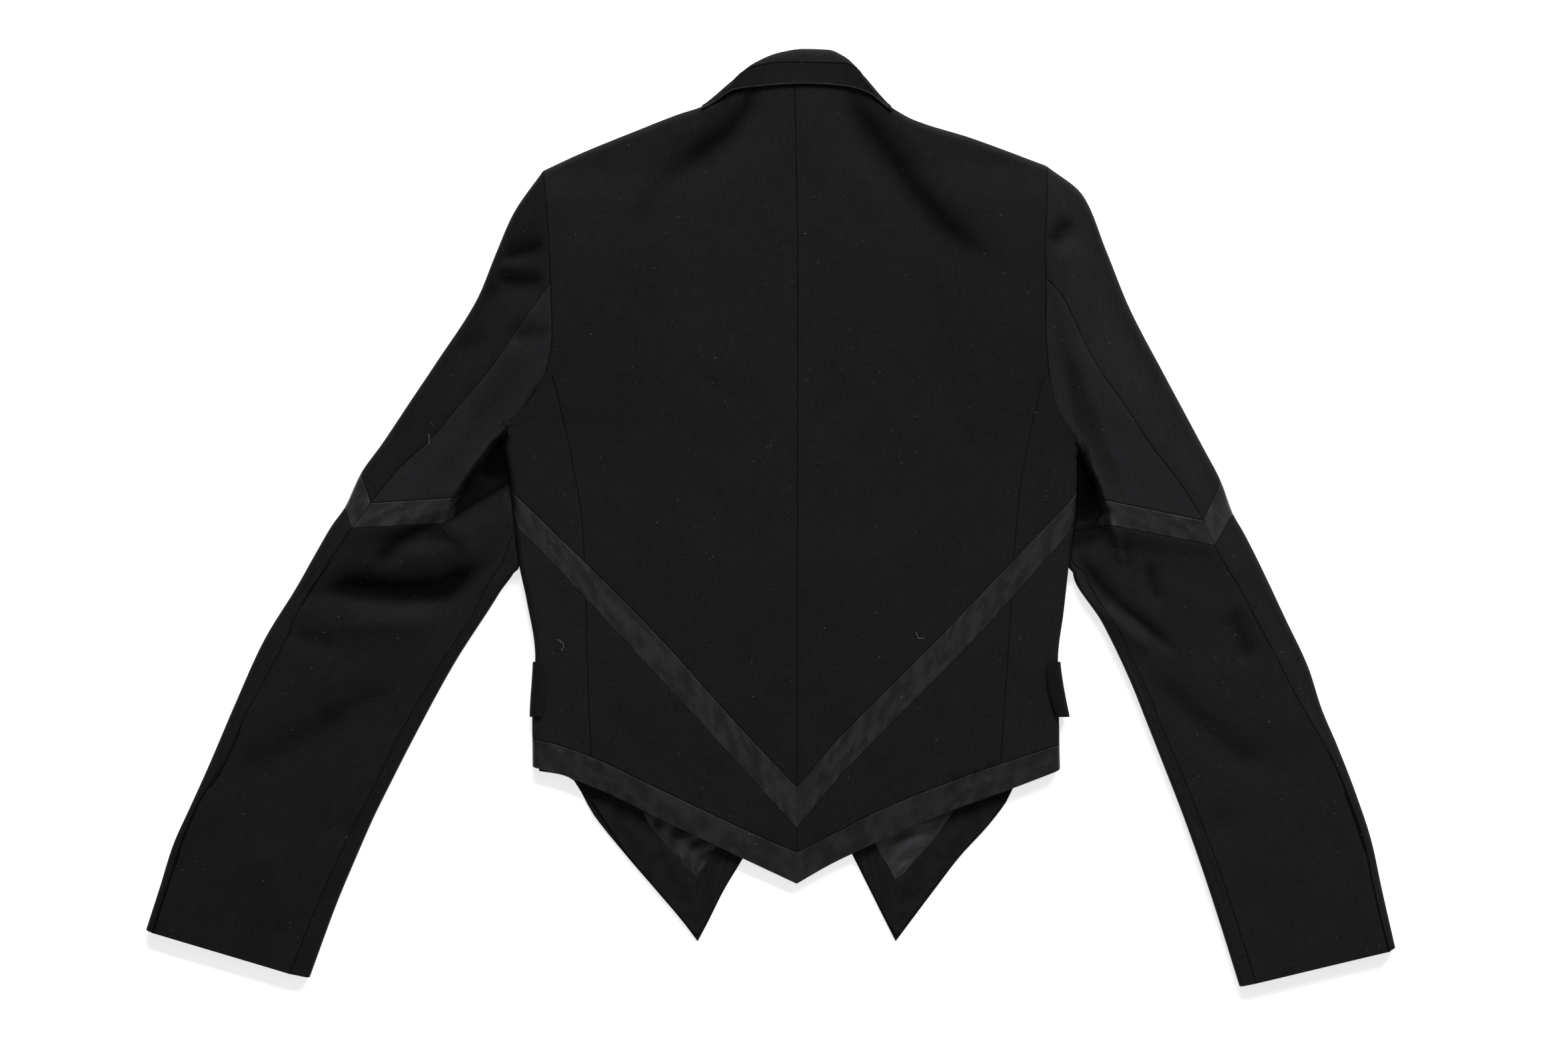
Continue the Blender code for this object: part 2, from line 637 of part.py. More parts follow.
class Sleeve:
    """A sleeve's outer face. A place is (round, along): round runs 0 to 1 from the outer
    fold to the back seam, to 2 at the inner crease, to 3 at the inner edge, to 4 round
    it, to 5 along the ground, to 6 round the outer fold and to 7 back to the seam."""

    def __init__(self, side, body):
        self.side = side
        self.body = body
        self.rows = SLEEVE_CAP[side] + SLEEVE_BAND[side] + FOREARM[side]
        self.marks = np.array([(r.outer, r.back_seam, r.inner_fold, r.inner_edge) for r in self.rows])
        self.levels = np.array([(r.outer_z, r.seam_z, r.fold_z, r.edge_z) for r in self.rows], float)
        self.under = np.array([self.rows[0].under_seam] + [r.under_seam for r in self.rows])
        armhole = self.armhole_marks()
        steps = np.linalg.norm(np.diff(np.concatenate([armhole[None], self.marks]), axis=0), axis=2)
        self.knots = np.concatenate([[0.0], np.cumsum(steps.mean(axis=1))])
        self.band_top = self.knots[len(SLEEVE_CAP[side]) + 1]
        self.band_bottom = self.knots[len(SLEEVE_CAP[side]) + 2]
        self.cuff = self.knots[-1]

    def armhole_heights(self):
        tip, seam = SHOULDER_TIP_Y[self.side], ARMHOLE_SEAM_Y[self.side]
        low = UNDERARM_Y[self.side]
        return np.array([tip, seam, low + ARMHOLE_FOLD, low])

    def armhole_marks(self):
        y = self.armhole_heights()
        return np.stack([self.body.edge(y), y], -1)

    def armhole_section(self, around):
        """The armhole as a section. It follows the body's edge, seen from above."""
        marks = self.armhole_heights()
        roll_in = SHOULDER_ROLL
        tip, low = self.body.shoulder_flat(self.body.edge(marks[0])), marks[3] + roll_in
        phi_in = (np.clip(around, 3, 4) - 3) * math.pi
        phi_out = (6 - np.clip(around, 5, 6)) * math.pi
        wrapped = np.where(around > 6, around - 6, around)
        turned = phi_out * (SHOULDER_ROLL + self.body.edge_height(tip) / 2.0) / 2.0
        y = np.select(
            [wrapped <= 1, wrapped <= 2, wrapped <= 3, around <= 4, around <= 5, around <= 6],
            [
                lerp(tip, marks[1], wrapped),
                lerp(marks[1], marks[2] + roll_in, wrapped - 1),
                lerp(marks[2] + roll_in, low, wrapped - 2),
                marks[3] + roll_in * (1 - np.sin(phi_in)),
                lerp(low, tip, around - 4),
                tip + turned,
            ],
        )
        low_top = self.body.edge_height(low)
        place = self.body.point(np.abs(self.body.edge(y) - self.body.centre(y)), y)
        under = (around > 4) & (around <= 5)
        rolled_in = (around > 3) & (around <= 4)
        place[..., 2] = np.where(under, 0.0, place[..., 2])
        place[..., 2] = np.where(rolled_in, low_top / 2 * (1 + np.cos(phi_in)), place[..., 2])
        return place

    def section(self, marks, levels, around):
        """A section through its four marks, as places round it."""
        outer, seam, fold, edge = marks
        radius_out = np.clip(levels[0] * 0.5, 2.6, 6.0)
        radius_in = np.clip(levels[3] * 0.42, 2.6, 4.6)
        from_outer = (seam - outer) / np.linalg.norm(seam - outer)
        from_edge = (fold - edge) / np.linalg.norm(fold - edge)
        start, end = outer + from_outer * radius_out, edge + from_edge * radius_in
        wrapped = np.where(around > 6, around - 6, around)
        phi_in = (np.clip(around, 3, 4) - 3) * math.pi
        phi_out = (6 - np.clip(around, 5, 6)) * math.pi
        span = np.linalg.norm(end - fold)
        ledge = smooth_step((wrapped - 2) * span / min(12.0, span))
        places = [
            (wrapped <= 1, lambda c: lerp(start[c], seam[c], wrapped)),
            (wrapped <= 2, lambda c: lerp(seam[c], fold[c], wrapped - 1)),
            (wrapped <= 3, lambda c: lerp(fold[c], end[c], wrapped - 2)),
            (around <= 4, lambda c: edge[c] + from_edge[c] * radius_in * (1 - np.sin(phi_in))),
            (around <= 5, lambda c: lerp(end[c], start[c], around - 4)),
            (around <= 6, lambda c: outer[c] + from_outer[c] * radius_out * (1 - np.sin(phi_out))),
        ]
        tests = [test for test, _ in places]
        x, y = (np.select(tests, [place(c) for _, place in places]) for c in (0, 1))
        z = np.select(
            tests,
            [
                lerp(levels[0], levels[1], smooth_step(wrapped)),
                lerp(levels[1], levels[2], smooth_step(wrapped - 1)),
                lerp(levels[2], levels[3], ledge),
                levels[3] / 2 * (1 + np.cos(phi_in)),
                0.0 * around,
                levels[0] / 2 * (1 + np.cos(phi_out)),
            ],
        )
        return np.stack([x, y, z], -1)

    def point(self, around, along):
        sections = [self.armhole_section(around)]
        sections += [self.section(m, l, around) for m, l in zip(self.marks, self.levels)]
        place = blend_rows(self.knots, np.stack(sections), along)
        wrapped = np.where(around > 6, around - 6, around)
        on_top = smooth_step(wrapped * 4) * smooth_step((3 - wrapped) * 3) * (wrapped < 3)
        from_armhole = smooth_step(along / 22.0)
        rise = fold_height(SLEEVE_FOLDS, place[..., 0], place[..., 1]) * on_top * from_armhole
        floor_height = 2 * SLEEVE_WALL + 1.2
        lifted = np.where(on_top > 0, np.maximum(place[..., 2] + rise, floor_height), place[..., 2])
        place[..., 2] = lifted
        return place

    def under_seam(self, along):
        return blend_rows(self.knots, self.under, along)


def plan_depth(roll, turn):
    """How far a turned edge reaches past the flat, seen from above."""
    return roll * np.sin(np.minimum(turn, math.pi / 2.0))


def flap_nearness(y):
    """1 beside the pocket flap, fading out above and below it."""
    below = smooth_step(1.0 + (y - FLAP_BOTTOM + FLAP_MARGIN) / FLAP_RAMP)
    return below * smooth_step(1.0 + (FLAP_TOP + FLAP_MARGIN - y) / FLAP_RAMP)


def face_normals(surface, u, v, outside):
    """Unit normals of a surface, pointing outside."""
    step = 0.01
    along_u = surface(u + step, v) - surface(u - step, v)
    along_v = surface(u, v + step) - surface(u, v - step)
    normal = np.cross(along_u, along_v) * outside
    return normal / np.linalg.norm(normal, axis=-1, keepdims=True)


def seam_inset(grid, amount):
    """Draws a grid's four borders in, square to each, so that pieces stay apart."""
    drawn = grid.copy()
    for view, source in (
        (drawn, grid),
        (drawn[::-1], grid[::-1]),
        (drawn.swapaxes(0, 1), grid.swapaxes(0, 1)),
        (drawn[:, ::-1].swapaxes(0, 1), grid[:, ::-1].swapaxes(0, 1)),
    ):
        border = np.gradient(source[0], axis=0)
        border /= np.linalg.norm(border, axis=-1, keepdims=True)
        inward = source[1] - source[0]
        inward /= np.linalg.norm(inward, axis=-1, keepdims=True)
        square = np.linalg.norm(np.cross(border, inward), axis=-1, keepdims=True)
        view[0] += inward * amount / np.maximum(square, 0.35)
    return drawn


def wall_mesh(name, outer, inner):
    """A closed wall between two grids of places, with faces pointing out. The cut edge's
    diagonals all run one way, so that two pieces at a seam stay parallel."""
    rows, columns = outer.shape[:2]
    points = np.concatenate([outer.reshape(-1, 3), inner.reshape(-1, 3)]) * MM
    count = rows * columns
    index = np.arange(count).reshape(rows, columns)
    faces = []
    for i in range(rows - 1):
        for j in range(columns - 1):
            a, b, c, d = index[i, j], index[i, j + 1], index[i + 1, j + 1], index[i + 1, j]
            faces.append((a, b, c, d))
            faces.append((d + count, c + count, b + count, a + count))
    border = list(index[0, :-1]) + list(index[:-1, -1]) + list(index[-1, :0:-1]) + list(index[:0:-1, 0])
    rank = points @ CUT_DIRECTION
    for a, b in zip(border, border[1:] + border[:1]):
        if rank[a] > rank[b]:
            faces += [(b, a, b + count), (a, a + count, b + count)]
        else:
            faces += [(b, a, a + count), (b, a + count, b + count)]
    mesh = bpy.data.meshes.new(name)
    mesh.from_pydata(points.tolist(), [], [[int(k) for k in face] for face in faces])
    mesh.validate()
    return mesh


def add_piece(name, outer, inner, material):
    """Adds a wall to the jacket. Its faces are turned round where the grid runs the
    other way."""
    span_u, span_v = outer[1:, :-1] - outer[:-1, :-1], outer[:-1, 1:] - outer[:-1, :-1]
    facing = np.cross(span_v, span_u)
    outward = (outer - inner)[:-1, :-1]
    if (facing * outward).sum() < 0:
        outer, inner = outer[::-1], inner[::-1]
    mesh = wall_mesh(name, outer, inner)
    mesh.materials.append(material)
    piece = bpy.data.objects.new(name, mesh)
    bpy.context.scene.collection.children["jacket"].objects.link(piece)
    return piece


def add_shell(name, surface, u, v, wall, outside, material):
    """A wall whose outer face follows a surface over a grid of its places."""
    normals = face_normals(surface, u, v, outside)
    outer = seam_inset(surface(u, v), SEAM_GAP / 2.0)
    return add_piece(name, outer, outer - normals * wall, material)


def spread(marks, counts):
    """Values from mark to mark, with a number of steps between each pair."""
    values = [np.linspace(0.0, 1.0, n + 1)[:-1] for n in counts]
    parts = [lerp(marks[k], marks[k + 1], t) for k, t in enumerate(values)]
    return np.concatenate(parts + [[marks[-1]]])


def body_grid(reach_marks, columns, y_marks, rows):
    """Reaches and heights of a panel. Each mark across is a function of y and each mark
    up is a function of reach, so the two are settled together."""
    u_index = np.linspace(0.0, sum(columns), sum(columns) + 1)
    v_index = np.linspace(0.0, sum(rows), sum(rows) + 1)
    u_index, v_index = np.meshgrid(u_index, v_index)
    y = np.full(u_index.shape, 60.0)
    reach = between_marks([mark(y) for mark in reach_marks], columns, u_index)
    y = between_marks([mark(reach) for mark in y_marks], rows, v_index)
    for _ in range(80):
        reach = lerp(reach, between_marks([mark(y) for mark in reach_marks], columns, u_index), 0.6)
        y = lerp(y, between_marks([mark(reach) for mark in y_marks], rows, v_index), 0.6)
    return reach, y


def between_marks(marks, counts, index):
    """Values spaced evenly from mark to mark, counts steps between each pair."""
    value = marks[0] + 0.0 * index
    start = 0
    for low, high, count in zip(marks, marks[1:], counts):
        share = np.clip((index - start) / count, 0.0, 1.0)
        value = np.where(index >= start, lerp(low, high, share), value)
        start += count
    return value


def back_pieces(bodies, wool, satin):
    """Back and side panels, above and below the V, and the two satin bands."""
    for side, body in bodies.items():
        shell = dict(surface=body.point, wall=BODY_WALL, outside=TOWARDS[side], material=wool)
        turned = [body.seam_reach, body.knee_reach, body.full_reach]
        plain = [at_centre, body.seam_reach]
        corner = SIDE_PANEL_TOP[side]
        upper = [
            along_line(V_TOP[side]),
            level_line(corner),
            level_line(corner + PANEL_CORNER),
            level_line(ARMHOLE_BEND),
            over_x(body.shoulder_knee, side),
            over_x(body.shoulder_end, side),
        ]
        lower = [along_line(HEM_TOP[side]), along_line(V_BOTTOM[side])]
        u, v = body_grid(plain, [8], upper, [8, 1, 5, 6, 5])
        add_shell(f"back_upper_{side}", u=u, v=v, **shell)
        u, v = body_grid(turned, [3, 6], upper[:2], [8])
        add_shell(f"side_upper_{side}", u=u, v=v, **shell)
        u, v = body_grid(plain, [7], lower, [9])
        add_shell(f"back_lower_{side}", u=u, v=v, **shell)
        u, v = body_grid(turned, [3, 6], lower, [9])
        add_shell(f"side_lower_{side}", u=u, v=v, **shell)
    add_band("back_v_band", bodies, V_BOTTOM, V_TOP, satin)
    add_band("back_hem_band", bodies, HEM_BOTTOM, HEM_TOP, satin)


def at_centre(y):
    return 0.0 * y


def along_line(rows):
    return lambda reach: line_value(rows, reach)


def level_line(y):
    return lambda reach: np.full(np.shape(reach), y)


def over_x(line, side):
    """A line across the shoulder, read at a reach instead of an x."""
    centre = line_value(CENTRE_SEAM, 330.0)
    return lambda reach: line(centre + TOWARDS[side] * reach)


def add_band(name, bodies, bottom, top, satin):
    """A band across the whole back, in one piece, from one side fold to the other."""
    outers, normals = [], []
    for side, body in bodies.items():
        marks = [at_centre, body.knee_reach, body.full_reach]
        u, v = body_grid(marks, [12, 6], [along_line(bottom[side]), along_line(top[side])], [2])
        outer, normal = body.point(u, v), face_normals(body.point, u, v, TOWARDS[side])
        if side == LEFT:
            outer, normal = outer[:, ::-1], normal[:, ::-1]
        skip = 1 if side == RIGHT else 0
        outers.append(outer[:, skip:])
        normals.append(normal[:, skip:])
    outer = seam_inset(np.concatenate(outers, axis=1), SEAM_GAP / 2.0)
    add_piece(name, outer, outer - np.concatenate(normals, axis=1) * BODY_WALL, satin)


def sleeve_pieces(sleeve, wool, satin):
    """The two cut lengths of a sleeve, the band between them and the vent's underlap."""
    side = sleeve.side
    outside = TOWARDS[side]
    spans = {
        "upper": (sleeve.knots[0], sleeve.band_top, 12),
        "band": (sleeve.band_top, sleeve.band_bottom, 2),
        "lower": (sleeve.band_bottom, sleeve.cuff, 17),
    }
    for part, (start, end, rows) in spans.items():
        along = np.linspace(start, end, rows + 1)
        seam = sleeve.under_seam(along) if part == "lower" else np.full(rows + 1, HIDDEN_SEAM)
        showing = ((HIDDEN_SEAM - seam) / (HIDDEN_SEAM - OPEN_SEAM))[:, None]
        material = satin if part == "band" else wool
        for cut in (UNDERSLEEVE, TOPSLEEVE):
            around = lerp(cut.hidden_seam, cut.open_seam, showing)
            place = np.repeat(along[:, None], around.shape[1], axis=1)
            sleeve_shell(f"{cut.name}_{part}_{side}", sleeve, around, place, material)
    rows = np.linspace(sleeve.knots[-1 - VENT_ROWS], sleeve.cuff - 3.0, 9)
    columns = np.linspace(1.01, 1.01 + VENT_SHARE, 4)
    around, place = np.meshgrid(columns, rows)
    depth = SLEEVE_WALL + VENT_CLEARANCE

    def inside(u, v):
        return sleeve.point(u, v) - face_normals(sleeve.point, u, v, outside) * depth

    add_shell(f"cuff_vent_{side}", inside, around, place, 1.0, outside, wool)


def sleeve_shell(name, sleeve, around, along, material):
    """A sleeve's wall. Its end at the armhole is cut square to the body."""
    normals = face_normals(sleeve.point, around, along, TOWARDS[sleeve.side])
    if along[0, 0] == 0.0:
        y = sleeve.point(around[0], along[0])[:, 1]
        slope = (sleeve.body.edge(y + 1.0) - sleeve.body.edge(y - 1.0)) / 2.0
        across = np.stack([np.ones_like(y), -slope, 0.0 * y], -1)
        across /= np.linalg.norm(across, axis=-1, keepdims=True)
        level = normals[0] - (normals[0] * across).sum(-1, keepdims=True) * across
        normals[0] = level / np.linalg.norm(level, axis=-1, keepdims=True)
    outer = seam_inset(sleeve.point(around, along), SEAM_GAP / 2.0)
    add_piece(name, outer, outer - normals * SLEEVE_WALL, material)


SleeveCut = namedtuple("SleeveCut", "name hidden_seam open_seam")
HIDDEN_SEAM, OPEN_SEAM = 2.9, 2.0
UNDERSLEEVE = SleeveCut(
    "undersleeve",
    spread([1.0, 2.0, HIDDEN_SEAM], [10, 3]),
    spread([1.0, OPEN_SEAM], [13]),
)
TOPSLEEVE = SleeveCut(
    "topsleeve",
    spread([HIDDEN_SEAM, 3.0, 4.0, 5.0, 6.0, 7.0], [1, 4, 1, 4, 3]),
    spread([OPEN_SEAM, 3.0, 4.0, 5.0, 6.0, 7.0], [1, 4, 1, 4, 3]),
)


def add_flat(name, bottom, thickness, material):
    """A piece that lies on what is below it. bottom is the grid of its lower face."""
    lower = seam_inset(bottom, SEAM_GAP / 2.0)
    upper = lower + np.array([0.0, 0.0, thickness])
    return add_piece(name, lower, upper, material)


def lapel_edges(side, y):
    """The lapel's outer edge and roll line at a height."""
    outer = line_value([LineRow(r.at, r.value[0]) for r in LAPEL[side]], y)
    inner = line_value([LineRow(r.at, r.value[1]) for r in LAPEL[side]], y)
    return outer, inner


def front_lift(side, body, x, y):
    """How far a front is lifted by the lapel, the pocket flap and the other front."""
    towards = TOWARDS[side]
    run = (body.edge(y) - x) * towards
    lapel = (LAPEL_WALL + LAYER_GAP) * smooth_step((run - 25.0) / 35.0)
    lapel = lapel * smooth_step((y - LAPEL_LIFT_START) / (LAPEL_LIFT_END - LAPEL_LIFT_START))
    by_run = smooth_step(1.0 + (FLAP_RUN + FLAP_MARGIN - run) / FLAP_RAMP)
    flap = (FLAP_WALL + FLAP_CLEARANCE + 0.1) * by_run * flap_nearness(y)
    lift = np.maximum(lapel, flap)
    if side == LEFT:
        over = smooth_step(1.0 + (x - CLOSURE_EDGE + 8.0) / 12.0)
        closed = smooth_step((y - CLOSURE_BOTTOM) / 26.0) * smooth_step((CLOSURE_TOP - y) / 26.0)
        lift = np.maximum(lift, (BODY_WALL + LAYER_GAP) * over * closed)
    return lift


def front_pieces(bodies, wool, satin, lining):
    """The fronts, on the ground, and the facing and lining that show at their points."""
    for side, body in bodies.items():
        towards = TOWARDS[side]
        across = [front_column(side, body, share) for share in FRONT_COLUMNS]
        up = [along_line(FRONT_HEM[side])] + [level_line(y) for y in FRONT_LEVELS] + [below_shoulder]
        x, y = body_grid(across, [1] * (len(across) - 1), up, FRONT_ROWS)
        bottom = np.stack([x, y, front_lift(side, body, x, y)], -1)
        add_flat(f"front_{side}", bottom, BODY_WALL, wool)
        pairs = np.array(POINT_FACING[side])
        height = BODY_WALL + LAYER_GAP
        strip = np.concatenate([pairs, np.full(pairs.shape[:2] + (1,), height)], -1)
        middle = strip.mean(axis=1)
        facing = np.stack([strip[:, 0], middle, strip[:, 1]], axis=1)
        add_flat(f"front_facing_{side}", facing, FACING_WALL, satin)
        ring = strip[:, 1]
        half = len(ring) // 2
        first, second = ring[: half + 1], ring[: -half - 2 : -1]
        count = min(len(first), len(second)) - 1
        fill = np.stack([lerp(first[:count], second[:count], t) for t in np.linspace(0, 1, 5)], axis=1)
        add_flat(f"front_lining_{side}", fill, 1.0, lining)
        lapel_y = np.linspace(LAPEL[side][0].at, LAPEL[side][-1].at, 9)
        edges = np.stack(lapel_edges(side, lapel_y), -1)
        across = np.stack([lerp(edges[:, 0], edges[:, 1], t) for t in np.linspace(0, 1, 5)], axis=1)
        grid = np.stack([across, np.repeat(lapel_y[:, None], 5, axis=1), 0.0 * across], -1)
        add_flat(f"lapel_{side}", grid, LAPEL_WALL, satin)
        columns = [row.at for row in FRONT_COLLAR[side]]
        rows = [np.linspace(row.value[0], row.value[1], 4) for row in FRONT_COLLAR[side]]
        grid = np.array([[(c, y, 0.0) for y in row] for c, row in zip(columns, rows)])
        add_flat(f"front_collar_{side}", grid, LAPEL_WALL, wool)


def front_column(side, body, share):
    """A column of a front: a share of the way from its edge to its side."""
    def column(y):
        side_gap = lerp(0.4, 4.8, body.turn(y) / SIDE_TURN)
        return lerp(line_value(FRONT_EDGE[side], y), body.edge(y) - TOWARDS[side] * side_gap, share)
    return column


def below_shoulder(x):
    return line_value(SHOULDER_LINE, x) - SHOULDER_GAP


class Collar:
    """The turned-down collar. A place is (x, y) with y going on round the fold."""

    def __init__(self, bodies):
        self.bodies = bodies

    def back_height(self, x, y):
        left = self.bodies[LEFT].height(x, y)
        right = self.bodies[RIGHT].height(x, y)
        return np.where(x < line_value(CENTRE_SEAM, y), left, right)

    def fall_turn(self, x):
        """Angle the fall turns at the sides of the neck: none at its ends, nor along
        its seam with the stand."""
        left = smooth_step((x - COLLAR_LEFT) / 16.0) * smooth_step((STAND_LEFT - 2.0 - x) / 12.0)
        right = smooth_step((COLLAR_RIGHT - x) / 16.0) * smooth_step((x - STAND_RIGHT - 2.0) / 8.0)
        return COLLAR_TURN * (left + right)

    def fall_top(self, x):
        seam = line_value(COLLAR_SEAM, x)
        outline = line_value(COLLAR_OUTLINE, x)
        from_left = smooth_step((x - COLLAR_SEAM[0].at) / (STAND_LEFT - COLLAR_SEAM[0].at))
        from_right = smooth_step((COLLAR_SEAM[-1].at - x) / (COLLAR_SEAM[-1].at - STAND_RIGHT))
        return lerp(outline, seam, from_left * from_right)

    def top_height(self, x, y):
        base = self.back_height(x, np.minimum(y, line_value(SHOULDER_LINE, x) - 4.0))
        edge = line_value(COLLAR_EDGE, x)
        outline = line_value(COLLAR_OUTLINE, x)
        share = smooth_step((y - edge) / np.maximum(outline - edge, 1.0))
        return base + COLLAR_WALL + LAYER_GAP + 0.25 + NAPE_RISE * share

    def fall_flat(self, x):
        return self.fall_top(x) - plan_depth(COLLAR_ROLL, self.fall_turn(x))

    def fall_point(self, x, y):
        flat = self.fall_flat(x)
        over = np.maximum(y - flat, 0.0)
        place_y = np.minimum(y, flat)
        top = self.top_height(x, place_y)
        turns = self.fall_turn(x) > 0
        bend = np.where(turns, over / ((COLLAR_ROLL + (top - FALL_LOW) / 2.0) / 2.0), 0.0)
        turned_y = place_y + np.where(turns, COLLAR_ROLL * np.sin(bend), over)
        turned_z = FALL_LOW + (top - FALL_LOW) / 2.0 * (1.0 + np.cos(bend))
        rolled = over > 0
        return np.stack([x, np.where(rolled, turned_y, y), np.where(rolled, turned_z, top)], -1)

    def fall_end(self, x):
        flat = self.fall_flat(x)
        top = self.top_height(x, flat)
        return flat + self.fall_turn(x) * (COLLAR_ROLL + (top - FALL_LOW) / 2.0) / 2.0

    def stand_point(self, x, along):
        """The strip above the fall's seam: 0 to 1 to the fold, to 2 round it, to 3
        back down inside to the neck seam."""
        seam, outline = line_value(COLLAR_SEAM, x), line_value(COLLAR_OUTLINE, x)
        radius = np.minimum(COLLAR_ROLL, 0.9 * (outline - seam))
        neck = line_value(SHOULDER_LINE, x)
        top = self.top_height(x, outline)
        start = self.top_height(x, seam)
        low = self.back_height(x, neck - 1.0) - BODY_WALL
        phi = (np.clip(along, 1, 2) - 1) * math.pi
        y = np.select(
            [along <= 1, along <= 2, along <= 4],
            [
                lerp(seam, outline - radius, along),
                outline - radius * (1 - np.sin(phi)),
                lerp(outline - radius, neck, along - 2),
            ],
        )
        z = np.select(
            [along <= 1, along <= 2, along <= 4],
            [lerp(start, top, along * (2.0 - along)), low + (top - low) / 2 * (1 + np.cos(phi)), low],
        )
        return np.stack([x, y, z], -1)


def collar_pieces(bodies, wool):
    """The collar's fall over the back, and its stand."""
    collar = Collar(bodies)
    columns = np.linspace(COLLAR_LEFT, COLLAR_RIGHT, 29)
    rows = np.linspace(0.0, 8.0, 9)
    x, share = np.meshgrid(columns, rows)
    knee = np.clip(collar.fall_flat(x), line_value(COLLAR_EDGE, x) + 2.0, collar.fall_end(x) - 1.6)
    marks = [line_value(COLLAR_EDGE, x), knee, collar.fall_end(x)]
    y = between_marks(marks, [3, 5], share)
    add_shell("collar_fall", collar.fall_point, x, y, COLLAR_WALL, 1.0, wool)
    columns = np.linspace(STAND_LEFT, STAND_RIGHT, 15)
    along = spread([0.0, 1.0, 2.0, 3.0], [2, 5, 2])
    x, along = np.meshgrid(columns, along)
    add_shell("collar_stand", collar.stand_point, x, along, STAND_WALL, 1.0, wool)


def flap_pieces(bodies, wool):
    """Pocket flaps, sewn to the fronts and turned round the side folds."""
    for side, body in bodies.items():
        towards = TOWARDS[side]
        y = np.linspace(FLAP_BOTTOM, FLAP_TOP, 7)
        share = (FLAP_TOP - y) / (FLAP_TOP - FLAP_BOTTOM)
        flare = FLAP_FLARE[side] * share**1.3
        reach = line_value(FLAP_REACH, y)
        turn = np.linspace(0.0, math.pi, 7)
        top = body.height(body.edge(y) - towards * SIDE_ROLL, y)
        low = body.ground_lift(y)
        faces = {}
        for name, away in (("outer", FLAP_WALL + FLAP_CLEARANCE), ("inner", FLAP_CLEARANCE)):
            half = (top - low) / 2.0 + away
            middle = (top + low) / 2.0
            radius = SIDE_ROLL + away
            roll_x = body.edge(y)[:, None] + towards * (flare[:, None] - SIDE_ROLL + radius * np.sin(turn))
            roll_z = middle[:, None] + half[:, None] * np.cos(turn)
            first_x = body.edge(y) + towards * (flare - SIDE_ROLL - reach)
            first_z = top + away
            run_x = body.edge(y)[:, None] - towards * np.linspace(30.0, FLAP_RUN, 4)
            run_z = np.repeat(roll_z[:, -1:], 4, axis=1)
            xs = np.concatenate([first_x[:, None], roll_x, run_x], axis=1)
            zs = np.concatenate([first_z[:, None], roll_z, run_z], axis=1)
            ys = np.repeat(y[:, None], xs.shape[1], axis=1)
            faces[name] = np.stack([xs, ys, np.maximum(zs, 0.0)], -1)
        add_piece(f"pocket_flap_{side}", faces["outer"], faces["inner"], wool)


def make_material(name, colour, roughness):
    material = bpy.data.materials.new(name)
    material.use_nodes = True
    shader = material.node_tree.nodes["Principled BSDF"]
    shader.inputs["Base Color"].default_value = (*colour, 1.0)
    shader.inputs["Roughness"].default_value = roughness
    return material


def main():
    for old in list(bpy.data.objects):
        bpy.data.objects.remove(old, do_unlink=True)
    jacket = bpy.data.collections.new("jacket")
    bpy.context.scene.collection.children.link(jacket)
    wool = make_material("wool", (0.011, 0.011, 0.013), 0.85)
    satin = make_material("satin", (0.022, 0.020, 0.023), 0.45)
    lining = make_material("lining", (0.040, 0.041, 0.044), 0.50)
    bodies = {side: Body(side) for side in (LEFT, RIGHT)}
    back_pieces(bodies, wool, satin)
    front_pieces(bodies, wool, satin, lining)
    collar_pieces(bodies, wool)
    flap_pieces(bodies, wool)
    for body in bodies.values():
        sleeve_pieces(Sleeve(body.side, body), wool, satin)


if __name__ == "__main__":
    main()
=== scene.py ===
"""The look of a black tailored jacket with satin bands that lies face down and flat.

Each cut piece of the jacket is a thin shell of cloth over the form of its solid. The
shells follow the same few tables of sizes as the solids, on a finer grid, with rounded
seams, soft folds and the cloth's own coordinates for the weave. Sizes in the tables are
millimetres; meshes are in metres.
"""

from __future__ import annotations

import logging
import math
from collections.abc import Callable, Iterator, Sequence
from dataclasses import dataclass, field
from enum import Enum
from typing import Any, NamedTuple

import bpy
import numpy as np
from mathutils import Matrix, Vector
from numpy.typing import ArrayLike, NDArray

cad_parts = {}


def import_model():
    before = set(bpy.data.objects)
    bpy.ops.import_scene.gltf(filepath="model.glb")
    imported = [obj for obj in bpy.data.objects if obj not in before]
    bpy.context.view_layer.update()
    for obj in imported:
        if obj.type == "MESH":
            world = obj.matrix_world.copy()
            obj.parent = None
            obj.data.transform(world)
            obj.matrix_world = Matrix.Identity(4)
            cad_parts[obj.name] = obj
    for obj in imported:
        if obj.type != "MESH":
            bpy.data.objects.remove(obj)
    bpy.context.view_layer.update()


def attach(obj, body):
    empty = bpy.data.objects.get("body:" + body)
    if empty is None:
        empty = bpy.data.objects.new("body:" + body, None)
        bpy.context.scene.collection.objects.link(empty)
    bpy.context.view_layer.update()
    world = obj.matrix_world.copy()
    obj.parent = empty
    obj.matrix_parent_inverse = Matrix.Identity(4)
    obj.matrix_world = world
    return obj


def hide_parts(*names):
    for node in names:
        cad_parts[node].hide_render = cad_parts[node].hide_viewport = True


LOG = logging.getLogger("jacket")
LEAST_FILL = 0.35  # least share of a cut's width times its length that is cloth
LEAST_SIDE = 10.5  # shortest side of a cut, in millimetres
MM = 0.001
Array = NDArray[np.float64]
Mark = Callable[[Array], Array]


